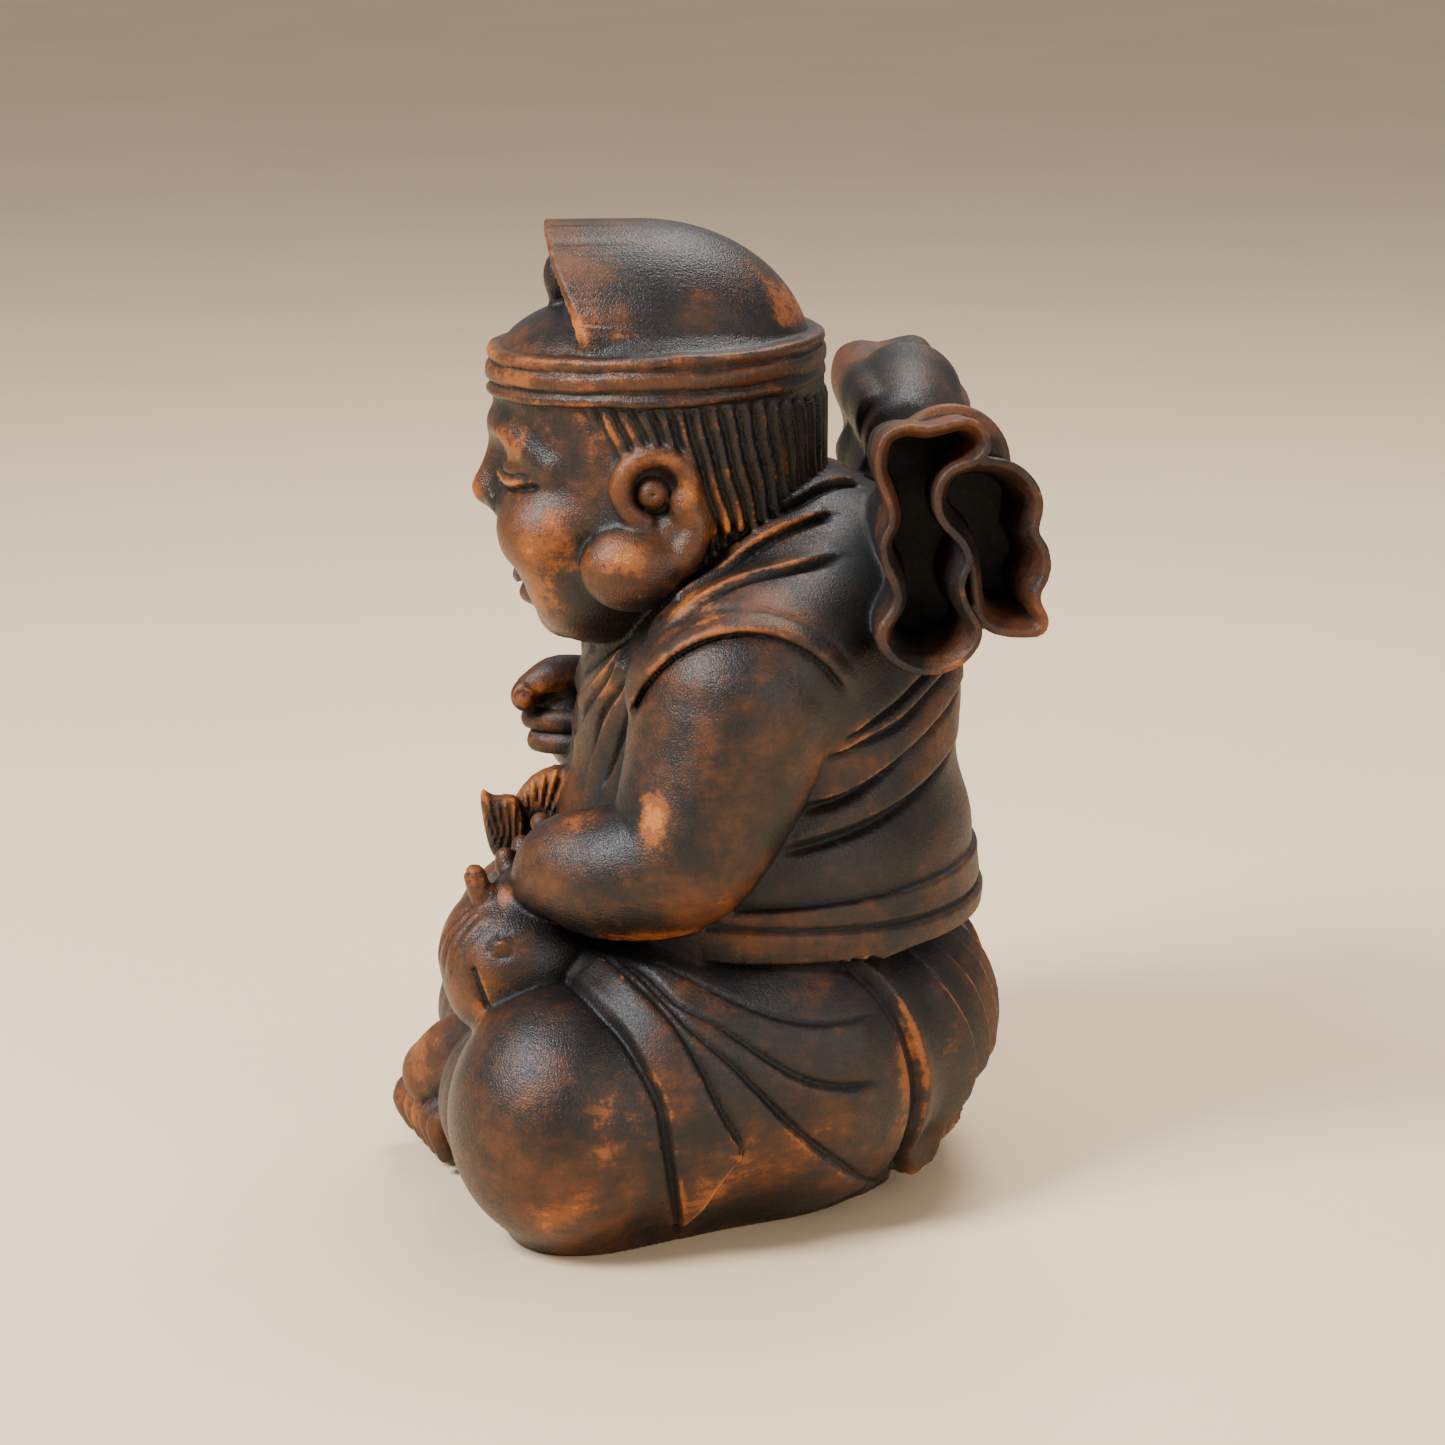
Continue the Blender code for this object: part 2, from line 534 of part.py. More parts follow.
def hat(wood):
    rise = CREST_RISE
    base_level = HEAD_TOP
    wide = CREST_HALF_WIDTH
    wood.add(ball((0, -24, base_level), (HEAD_HALF_WIDTH - 1, HEAD_HALF_DEPTH - 2.5, 25)))

    def crest(x, y, z):
        back = np.maximum(y + 30, 0.0)
        up = z - base_level
        k0 = np.sqrt((x / wide) ** 2 + (back / CREST_LENGTH) ** 2 + (up / rise) ** 2)
        k1 = np.sqrt((x / wide**2) ** 2 + (back / CREST_LENGTH**2) ** 2 + (up / rise**2) ** 2)
        body = k0 * (k0 - 1) / np.maximum(k1, 1e-6)
        front = -63.3 + 15 * (np.abs(x) / wide) ** 4
        body = np.maximum(body, front - y)
        body = np.maximum(body, base_level - 8 - z)
        recess = np.maximum((k0 - 1) * 44 + CREST_RIM, (y - front) - CREST_RECESS)
        return -smooth_min(-body, recess, 1.0)

    first = np.array([-wide, -64, base_level - 8])
    last = np.array([wide, CREST_LENGTH - 30, base_level + rise])
    wood.add((crest, first, last), 2)
    wood.add(ball((0, -58.5, base_level + 30), (7, 5.5, 9)), 2)
    wood.add(limb([(0, -58, base_level + 30, 3), (0, -59, base_level + 16, 3.5)]), 2)
    band_wide = HEAD_HALF_WIDTH + BAND_OUT
    band_deep = HEAD_HALF_DEPTH + BAND_OUT - 2

    def band(x, y, z):
        tilt = 0.045 * (y + 24)
        turn = np.arctan2(x, y + 24)
        wander = 0.3 * np.sin(3 * turn + 1) + 0.2 * np.sin(7 * turn)
        ring = np.sqrt((x / band_wide) ** 2 + ((y + 24) / band_deep) ** 2)
        out = (ring - 1) * 58
        best = None
        for level, half, proud in ((-0.9, 0.36, 0.0), (0.0, 0.54, 0.4), (0.88, 0.36, -0.4)):
            middle = base_level + level * BAND_STRAND + tilt + wander
            flat = np.maximum(np.abs(z - middle) - (half * BAND_STRAND - 2.2), 0)
            e = np.hypot(flat, np.maximum(out - proud + 2.2, 0)) - 2.2
            e = np.maximum(e, -out - 12)
            best = e if best is None else np.minimum(best, e)
        return best

    low = np.array([-band_wide - 2, -24 - band_deep - 2, base_level - 14])
    high = np.array([band_wide + 2, band_deep - 22, base_level + 16])
    wood.add((band, low, high), 0.6)


def arms(wood):
    top, bend, wrist = SHOULDER_RADIUS, ELBOW_RADIUS, WRIST_RADIUS
    left = [(70, 0, 190, top), (77, -9, 162, top - 5), (82, -22, 138, bend), (78, -44, 131, bend - 3.5),
            (71, -58, 131, wrist + 4.5), (64, -66, 123.5, wrist - 1.5)]
    right = [(-70, 0, 190, top), (-80, -4, 162, top - 5), (-86, -14, 140, bend), (-78, -34, 140, bend - 4),
             (-60, -48, 152, wrist + 3), (-47, -54, 162, wrist - 2)]
    wood.add(limb(left, 22), 1.2)
    wood.add(limb(right, 22), 1.2)

    def robe_edge(x, y, z):
        ring = np.hypot(y - 1, z - 181)
        cloth = np.clip((z - 176 + 0.35 * (y + 40)) / 12, 0, 1)
        step = 1 / (1 + np.exp(-(ring - ARMHOLE_RADIUS) / 0.9))
        return -ARMHOLE_STEP * step * np.exp(-np.maximum(ring - 40, 0) / 22) * cloth

    wood.shift((50, -60, 130), (125, 60, 240), robe_edge)
    wood.shift((-125, -60, 130), (-50, 60, 240), robe_edge)


def hands(wood):
    r = FINGER_RADIUS
    wood.add(ball((58, -76.5, 118), (10.5, 9.5, 10)), 3)
    wood.add(limb([(60, -80, 113.5, r + 0.3), (61, -87.5, 118, r - 0.2), (61, -89.5, 125, r - 1)], 8), 1)
    wood.add(limb([(51, -76, 122, r + 0.3), (49, -80, 125, r), (48, -81, 129, r - 0.8)], 6), 1)
    wood.add(limb([(46, -70, 124, r + 0.3), (44, -74, 128, r), (43, -75, 132, r - 0.8)], 6), 1)
    wood.add(limb([(42, -60, 125, r + 0.3), (40, -65, 133, r), (39, -68, 139, r - 0.6)], 6), 1)
    wood.add(ball((-41, -58, 162), (12, 12, 17)), 3)
    wood.add(limb([(-39, -46, 174, r + 3.4), (-33, -60, 176.5, r + 2.6), (-31, -69, 171.5, r + 2)], 8), 1.5)
    for n in range(2):
        z = 159.5 - 8.8 * n
        y = -68.5 + 2.2 * n
        roll = [(-42, y + 1, z, r + 0.4), (-34, y, z, r), (-29, y + 10, z, r), (-29, y + 20, z, r)]
        wood.add(limb(roll, 8), 0.6)


def fish(wood):
    r = FISH_HEAD_RADIUS
    wood.add(ball((58, -78, 95), (r, r, r - 2)))
    wood.add(ball((62, -85, 82), (18, 15, 13)), 8)
    wood.add(limb([(50, -78, 98, r - 4), (30, -73, 102, r - 7), (12, -69, 112, 13), (4, -67, 124, 8)], 12), 8)
    wood.fold([(80, -93, 99), (83, -89, 91), (84, -86, 82)], FOLD_WIDTH * 0.6, FOLD_DEPTH, 0.0, 4.0)
    eye = [(81, -88, 104), (81, -83, 109), (80, -78, 108.5)]
    wood.fold(eye, FOLD_WIDTH * 0.5, FOLD_DEPTH * 0.6, 0.0, 4.0)
    half = TAIL_THICKNESS / 2
    front = [(-89, 143), (-84, 141), (-77, 141), (-74, 134), (-74, 125), (-79, 120), (-85, 120), (-88, 131)]
    back = [(-77, 135), (-73, 143), (-67, 148), (-59, 150), (-55, 146), (-58, 137), (-66, 125), (-74, 121)]
    wood.add(plate(front, 10 - half, 10 + half, "x", 2.5), 2)
    wood.add(plate(back, 1 - half, 1 + half + 2, "x", 3), 2)


def foot(wood):
    tip = -62 - FOOT_LENGTH + 6
    wood.add(limb([(30, -62, 48, 19), (12, tip + 26, 44, 16), (0, tip + 9, 35, 12)], 10), 3)
    for n in range(5):
        r = TOE_RADIUS + 1.6 if n == 0 else TOE_RADIUS + 0.3 - 0.2 * n
        x = -12 + 9.2 * n - 0.6 * max(n - 1, 0)
        y = tip + 2.6 * n
        wood.add(limb([(x + 1, y + 10, 34, r), (x, y, 27, r), (x, y + 3, r + 8, r * 0.9)], 8), 1.0)


def trumpet_skin(line, side, root, start, reach, narrow):
    """The outer skin of a cloth trumpet that widens along X from a root towards its mouth."""

    def skin(x, y, z):
        t = np.clip((side * x - start) / (reach - start), 0, 1)
        grow = narrow + (1 - narrow) * t**0.6
        u = root[0] + (y - root[0]) / grow
        v = root[1] + (z - root[1]) / grow
        return outline_distance(u, v, line) * grow

    return skin


def trumpet_body(skin, line, side, start, reach):
    """A trumpet's skin closed at its start and at its mouth."""

    def body(x, y, z):
        return np.maximum(skin(x, y, z), np.maximum(start - side * x, side * x - reach))

    first, last = line.min(0) - 3, line.max(0) + 3
    ends = sorted((side * start, side * reach))
    return body, np.array([ends[0], *first]), np.array([ends[1], *last])


def trumpet_core(side, far, reach):
    """The round part of a trumpet behind its mouths."""
    rings = np.asarray(CORE_MOUTH, float) + far * np.array([0, 2, 0])

    def core(x, y, z):
        share = np.clip((side * x - 20) / (reach - 20), 0, 1)
        grow = 0.6 + 0.4 * share**0.6
        best = None
        for u, v, r in rings:
            d = np.hypot((y - 58) / grow + 58 - u, (z - 245) / grow + 245 - v) - r
            best = d if best is None else smooth_min(best, d, 3.0)
        return np.maximum(best * grow, np.maximum(20 - side * x, side * x - reach))

    ends = sorted((side * 20, side * reach))
    return core, np.array([ends[0], 44, 222]), np.array([ends[1], 98, 300])


def trumpets(wood):
    wall = TRUMPET_WALL * SHARES / HEIGHT
    hollow = TRUMPET_HOLLOW * SHARES / HEIGHT
    reach = TRUMPET_REACH
    back_reach = reach - 5
    wood.add(ball((0, 66, 226), (42, 20, 20)), 10)
    for side in (1, -1):
        far = 0 if side > 0 else 1
        front_line = closed_curve([(u + 3 * far, v + far) for u, v in FRONT_MOUTH], 2)
        back_line = closed_curve([(u - 2 * far, v + 4 * far) for u, v in BACK_MOUTH], 2)
        back_skin = trumpet_skin(back_line, side, (78, 244), 30, back_reach, 0.62)
        front_skin = trumpet_skin(front_line, side, (63, 246), 30, reach, 0.74)
        back_body = trumpet_body(back_skin, back_line, side, 30, back_reach)
        front_body = trumpet_body(front_skin, front_line, side, 30, reach)
        wood.add(trumpet_core(side, far, reach - 26), 4)
        wood.add(back_body, 2)
        wood.add(front_body, 1)

        def front_hollow(x, y, z):
            depth = reach - side * x
            inside = front_skin(x, y, z) + wall * (0.85 + 0.25 * np.clip(depth / hollow, 0, 1))
            inside = np.maximum(inside, depth - hollow)
            return np.maximum(inside, -back_skin(x, y, z))

        def back_hollow(x, y, z):
            depth = reach - side * x
            inside = back_skin(x, y, z) + wall * (0.85 + 0.25 * np.clip(depth / hollow, 0, 1))
            return np.maximum(inside, depth - hollow + 2)

        wood.cut((front_hollow, front_body[1], front_body[2] + np.array([2, 0, 0])), 1.0)
        wood.cut((back_hollow, back_body[1], back_body[2] + np.array([2, 0, 0])), 1.0)


def folds(wood):
    """Carves the robe, the same on both sides."""
    width, depth, lip, fade = FOLD_WIDTH, FOLD_DEPTH, FOLD_LIP, FOLD_FADE
    for side in (1, -1):
        flip = np.array([side, 1, 1])
        for line in SHOULDER_FOLDS:
            wood.fold(np.array(line) * flip, width, depth * 0.8, lip, fade * 0.7, side)
        for line in BACK_FOLDS:
            wood.fold(np.array(line) * flip, width, depth, lip, fade * 0.7, side)
        for line in CHEST_FOLDS:
            wood.fold(np.array(line) * flip, width, depth * 0.8, lip * 0.8, fade * 0.6, side)
        wood.fold(np.array(KNEE_LINE) * flip, width * 1.2, depth, lip, fade, side)
        wood.fold(np.array(FLAP_LINE) * flip, width, depth, lip, fade, -side)
        wood.fold(np.array(FLAP_END) * flip, width, depth, lip * 1.2, fade * 0.7, -side)
        for line in SIDE_FOLDS:
            wood.fold(np.array(line) * flip, width, depth, lip, fade, -side)
        wood.fold(np.array(HIP_LINE) * flip, width * 1.4, depth * 1.7, lip, fade * 0.7, side)


def figure(step):
    """All forms of the figure on one grid."""
    low = (-KNEE_REACH - KNEE_RADIUS - 12, -140, -12)
    high = (KNEE_REACH + KNEE_RADIUS + 12, 124, HEAD_TOP + CREST_RISE + 8)
    wood = Wood(low, high, step)
    trunk(wood)
    seat(wood)
    legs(wood)
    undercut(wood)
    base(wood)
    belt(wood)
    folds(wood)
    trumpets(wood)
    top = Wood(low, high, step)
    head(top)
    hair(top)
    ears(top)
    hat(top)
    wood.join(top, 0.8)
    arms(wood)
    fish(wood)
    hands(wood)
    foot(wood)
    return wood


def surface(wood, name):
    """Turns the grid into a closed mesh in metres."""
    grid = openvdb.FloatGrid(EMPTY)
    grid.copyFromArray(wood.field)
    grid.transform = openvdb.createLinearTransform(voxelSize=1.0)
    points, quads = grid.convertToQuads(isovalue=0.0)
    points = (points * wood.step + wood.low) * (HEIGHT / SHARES)
    mesh = bpy.data.meshes.new(name)
    mesh.from_pydata(points.tolist(), [], quads[:, ::-1].tolist())
    mesh.validate()
    return mesh


def thin(mesh, name, facets):
    """Thins a mesh to a number of flat facets."""
    trial = bpy.data.objects.new(name + "_trial", mesh)
    bpy.context.scene.collection.objects.link(trial)
    change = trial.modifiers.new("thin", "DECIMATE")
    change.ratio = min(1.0, facets / (2 * len(mesh.polygons)))
    change.use_collapse_triangulate = True
    bpy.context.view_layer.update()
    reading = trial.evaluated_get(bpy.context.evaluated_depsgraph_get())
    result = bpy.data.meshes.new_from_object(reading)
    result.name = name
    bpy.data.objects.remove(trial)
    bpy.data.meshes.remove(mesh)
    return result


def level_underside(mesh):
    """Cuts the mesh level at the ground and closes the cut with one flat face."""
    bm = bmesh.new()
    bm.from_mesh(mesh)
    everything = bm.verts[:] + bm.edges[:] + bm.faces[:]
    bmesh.ops.bisect_plane(
        bm, geom=everything, dist=1e-6, plane_co=(0, 0, 0), plane_no=(0, 0, -1),
        clear_outer=True, clear_inner=False,
    )
    rim = [edge for edge in bm.edges if edge.is_boundary]
    bmesh.ops.contextual_create(bm, geom=rim)
    bmesh.ops.triangulate(bm, faces=[face for face in bm.faces if len(face.verts) > 3])
    bmesh.ops.recalc_face_normals(bm, faces=bm.faces[:])
    bm.to_mesh(mesh)
    bm.free()


def keep_largest(mesh):
    """Leaves only the largest closed shell."""
    bm = bmesh.new()
    bm.from_mesh(mesh)
    bm.verts.ensure_lookup_table()
    seen = set()
    shells = []
    for start in bm.verts:
        if start in seen:
            continue
        shell = []
        stack = [start]
        seen.add(start)
        while stack:
            vert = stack.pop()
            shell.append(vert)
            for edge in vert.link_edges:
                other = edge.other_vert(vert)
                if other not in seen:
                    seen.add(other)
                    stack.append(other)
        shells.append(shell)
    shells.sort(key=len)
    for shell in shells[:-1]:
        bmesh.ops.delete(bm, geom=shell, context="VERTS")
    bm.to_mesh(mesh)
    bm.free()


def wood_material():
    material = bpy.data.materials.new("stained_wood")
    material.use_nodes = True
    shader = material.node_tree.nodes["Principled BSDF"]
    shader.inputs["Base Color"].default_value = (0.055, 0.026, 0.014, 1.0)
    shader.inputs["Roughness"].default_value = 0.42
    return material


def main():
    for item in list(bpy.data.objects):
        bpy.data.objects.remove(item)
    parts = bpy.data.collections.new("ebisu_figure")
    bpy.context.scene.collection.children.link(parts)
    mesh = surface(figure(GRID), "ebisu_figure")
    keep_largest(mesh)
    mesh = thin(mesh, "ebisu_figure", FACETS)
    level_underside(mesh)
    box = np.array([vert.co for vert in mesh.vertices])
    middle = 0.5 * (box.min(0) + box.max(0))
    for vert in mesh.vertices:
        vert.co.x -= middle[0]
        vert.co.y -= middle[1]
    mesh.materials.append(wood_material())
    figure_object = bpy.data.objects.new("ebisu_figure", mesh)
    parts.objects.link(figure_object)
    mesh.update()


main()
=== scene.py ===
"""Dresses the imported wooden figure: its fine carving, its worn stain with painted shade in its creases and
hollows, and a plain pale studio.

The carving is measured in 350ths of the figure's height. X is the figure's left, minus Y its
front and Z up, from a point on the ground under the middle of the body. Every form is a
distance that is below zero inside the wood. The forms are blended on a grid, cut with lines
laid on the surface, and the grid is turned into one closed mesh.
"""
from __future__ import annotations

import logging
import math
from abc import ABC, abstractmethod
from dataclasses import dataclass, field, replace
from enum import Enum
from typing import Callable, Sequence

import bpy
import numpy as np
import openvdb
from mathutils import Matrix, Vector

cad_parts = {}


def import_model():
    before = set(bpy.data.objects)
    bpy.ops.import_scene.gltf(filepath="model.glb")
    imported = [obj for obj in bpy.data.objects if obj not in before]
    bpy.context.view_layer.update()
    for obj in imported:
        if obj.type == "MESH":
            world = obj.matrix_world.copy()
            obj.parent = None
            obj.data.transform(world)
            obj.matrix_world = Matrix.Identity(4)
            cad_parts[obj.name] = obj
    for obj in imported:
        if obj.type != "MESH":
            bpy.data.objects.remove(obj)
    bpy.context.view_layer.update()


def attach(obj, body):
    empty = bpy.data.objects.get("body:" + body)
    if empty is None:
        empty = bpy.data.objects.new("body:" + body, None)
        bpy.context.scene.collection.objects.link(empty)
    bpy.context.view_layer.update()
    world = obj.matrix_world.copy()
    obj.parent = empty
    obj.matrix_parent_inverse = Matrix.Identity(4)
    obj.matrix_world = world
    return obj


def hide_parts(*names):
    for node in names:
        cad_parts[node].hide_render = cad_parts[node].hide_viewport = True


LOG = logging.getLogger("figure")

Array = np.ndarray
Point = tuple[float, float, float]
Knot = tuple[float, float, float, float]
Flat = tuple[float, float]
Colour = tuple[float, float, float]
Change = Callable[[Array, Array, Array], Array]
Region = tuple[tuple[slice, ...], Array, Array, Array]

METRES = 0.350 / 350.0
EMPTY = 40.0
TINY = 1e-9
LEAST_SLOPE = 1e-6
FORM_PAD = 5.0


class Side(Enum):
    """The two sides of the figure."""

    LEFT = 1
    RIGHT = -1


def smooth_min(a: Array, b: Array, reach: float) -> Array:
    """Takes the lower of two distances, with the corner between them rounded.

    Args:
        a: The first distance.
        b: The second distance.
        reach: How far from the corner the rounding starts.

    Returns:
        The joined distance.
    """
    if reach <= 0:
        return np.minimum(a, b)
    h = np.maximum(reach - np.abs(a - b), 0.0) / reach
    return np.minimum(a, b) - h * h * (reach * 0.25)


def weave(a: Array, b: Array, c: Array, d: Array, t: Array) -> Array:
    """Gives the place at a share t of the way from b to c, on a smooth curve through all four."""
    return 0.5 * (2 * b + (c - a) * t + (2 * a - 5 * b + 4 * c - d) * t**2 + (3 * b - a - 3 * c + d) * t**3)


def curve(points: Sequence[Sequence[float]], count: int) -> Array:
    """Runs a smooth curve through points of any width.

    Args:
        points: The points, at least two.
        count: How many samples to return.

    Returns:
        The samples, one a row.
    """
    p = np.asarray(points, float)
    if len(p) < 3:
        t = np.linspace(0, 1, count)[:, None]
        return p[0] * (1 - t) + p[-1] * t
    q = np.vstack([2 * p[0] - p[1], p, 2 * p[-1] - p[-2]])
    u = np.linspace(0, len(p) - 1, count)
    i = np.minimum(u.astype(int), len(p) - 2)
    t = (u - i)[:, None]
    return weave(q[i], q[i + 1], q[i + 2], q[i + 3], t)


def closed_curve(points: Sequence[Flat], steps: int) -> Array:
    """Runs a smooth closed curve through flat points.

    Args:
        points: The corners that it passes through.
        steps: How many samples to take between two corners.

    Returns:
        The samples, one a row.
    """
    p = np.asarray(points, float)
    q = np.vstack([p[-2:], p, p[:3]])
    u = 2 + np.arange(len(p) * steps) / steps
    i = u.astype(int)
    t = (u - i)[:, None]
    return weave(q[i - 1], q[i], q[i + 1], q[i + 2], t)


def rise_above(share: Array) -> Array:
    """Rises from zero to one about the place where share is zero."""
    return 1 / (1 + np.exp(np.clip(-share, -30, 30)))


def ridge(share: Array) -> Array:
    """Gives one where share is zero, and falls away softly on both sides."""
    return np.exp(-(share**2))


def rounded(d: Array, e: Array, edge: float) -> Array:
    """Gives what lies inside both distances, with the edge between them rounded."""
    return np.minimum(np.maximum(d, e), 0) + np.hypot(np.maximum(d, 0), np.maximum(e, 0)) - edge


def outline_distance(u: Array, v: Array, points: Array) -> Array:
    """Measures the distance from a closed flat outline, below zero inside it.

    Args:
        u: First flat coordinate.
        v: Second flat coordinate.
        points: The outline's points.

    Returns:
        The signed distance.
    """
    best = None
    inside = None
    for a, b in zip(points, np.roll(points, -1, axis=0)):
        d = b - a
        du, dv = u - a[0], v - a[1]
        h = np.clip((du * d[0] + dv * d[1]) / (float(d @ d) + TINY), 0, 1)
        s = (du - h * d[0]) ** 2 + (dv - h * d[1]) ** 2
        best = s if best is None else np.minimum(best, s)
        rise = b[1] - a[1]
        rise = rise if abs(rise) > TINY else TINY
        c = ((a[1] > v) != (b[1] > v)) & (u < (b[0] - a[0]) * (v - a[1]) / rise + a[0])
        inside = c if inside is None else inside ^ c
    return np.sqrt(best) * np.where(inside, -1.0, 1.0)


def flipped(points: Sequence[Sequence[float]], side: Side) -> list[tuple[float, ...]]:
    """Mirrors points across the figure's middle for the right side.

    Args:
        points: Points of the left side, X first.
        side: The side that is wanted.

    Returns:
        The points on that side.
    """
    return [(side.value * p[0], *p[1:]) for p in points]


class Form(ABC):
    """A shape that knows the distance from its own surface."""

    @abstractmethod
    def distance(self, x: Array, y: Array, z: Array) -> Array:
        """Gives the distance at each place, below zero inside."""

    @abstractmethod
    def box(self) -> tuple[Array, Array]:
        """Gives the lowest and the highest corner that it can reach."""


@dataclass(frozen=True)
class Ball(Form):
    """A ball with a radius along each axis."""

    centre: Point
    radii: Point

    def distance(self, x: Array, y: Array, z: Array) -> Array:
        """Gives the distance at each place, below zero inside.

        Args:
            x: Places along X.
            y: Places along Y.
            z: Places along Z.

        Returns:
            The distance at each place, below zero inside.
        """
        dx, dy, dz = x - self.centre[0], y - self.centre[1], z - self.centre[2]
        a, b, c = self.radii
        k0 = np.sqrt((dx / a) ** 2 + (dy / b) ** 2 + (dz / c) ** 2)
        k1 = np.sqrt((dx / a**2) ** 2 + (dy / b**2) ** 2 + (dz / c**2) ** 2)
        return k0 * (k0 - 1.0) / np.maximum(k1, LEAST_SLOPE)

    def box(self) -> tuple[Array, Array]:
        """Gives the lowest and the highest corner that it can reach."""
        return np.asarray(self.centre) - self.radii, np.asarray(self.centre) + self.radii


@dataclass(frozen=True)
class Limb(Form):
    """A round limb through knots, each a place and a radius."""

    knots: Sequence[Knot]
    samples: int = 12

    def distance(self, x: Array, y: Array, z: Array) -> Array:
        """Gives the distance at each place, below zero inside.

        Args:
            x: Places along X.
            y: Places along Y.
            z: Places along Z.

        Returns:
            The distance at each place, below zero inside.
        """
        p = curve(self.knots, self.samples)
        best = None
        for a, b in zip(p[:-1], p[1:]):
            d = b[:3] - a[:3]
            dx, dy, dz = x - a[0], y - a[1], z - a[2]
            h = np.clip((dx * d[0] + dy * d[1] + dz * d[2]) / (float(d @ d) + TINY), 0, 1)
            s = np.sqrt((dx - h * d[0]) ** 2 + (dy - h * d[1]) ** 2 + (dz - h * d[2]) ** 2)
            s = s - (a[3] + h * (b[3] - a[3]))
            best = s if best is None else np.minimum(best, s)
        return best

    def box(self) -> tuple[Array, Array]:
        """Gives the lowest and the highest corner that it can reach."""
        p = curve(self.knots, self.samples)
        return (p[:, :3] - p[:, 3:]).min(0), (p[:, :3] + p[:, 3:]).max(0)


class Across(Enum):
    """The axis that a plate's outline is drawn across."""

    X = "x"
    Z = "z"


@dataclass(frozen=True)
class Plate(Form):
    """A plate with a smooth closed outline, between two levels, with rounded edges."""

    outline: Sequence[Flat]
    low: float
    high: float
    across: Across
    edge: float
    steps: int = 3

    def distance(self, x: Array, y: Array, z: Array) -> Array:
        """Gives the distance at each place, below zero inside.

        Args:
            x: Places along X.
            y: Places along Y.
            z: Places along Z.

        Returns:
            The distance at each place, below zero inside.
        """
        u, v, w = (y, z, x) if self.across is Across.X else (x, y, z)
        d = outline_distance(u, v, closed_curve(self.outline, self.steps)) + self.edge
        e = np.abs(w - 0.5 * (self.low + self.high)) - 0.5 * (self.high - self.low) + self.edge
        return rounded(d, e, self.edge)

    def box(self) -> tuple[Array, Array]:
        """Gives the lowest and the highest corner that it can reach.

        Returns:
            The lowest and the highest corner.
        """
        line = closed_curve(self.outline, self.steps)
        first, last = line.min(0), line.max(0)
        if self.across is Across.X:
            return np.array([self.low, *first]), np.array([self.high, *last])
        return np.array([*first, self.low]), np.array([*last, self.high])


@dataclass(frozen=True)
class Shaped(Form):
    """A form worked out by a function of its own, inside a box."""

    change: Change
    low: Sequence[float]
    high: Sequence[float]

    def distance(self, x: Array, y: Array, z: Array) -> Array:
        """Gives the distance at each place, below zero inside."""
        return self.change(x, y, z)

    def box(self) -> tuple[Array, Array]:
        """Gives the lowest and the highest corner that it can reach."""
        return np.asarray(self.low, float), np.asarray(self.high, float)


@dataclass(frozen=True)
class Chisel:
    """How one carved line is cut: a groove, and cloth that stands up along one side of it."""

    width: float = 1.5
    depth: float = 2.4
    lip: float = 2.4
    fade: float = 12.0
    sharp: float = 0.55
    run_out: float = 0.12
    set_off: float = 0.55
    spill: float = 3.5
    blunt: float = 0.1

    def finer(self, share: float) -> Chisel:
        """Gives the same cut at a share of its size."""
        return replace(self, width=self.width * share, depth=self.depth * share, lip=self.lip * share)


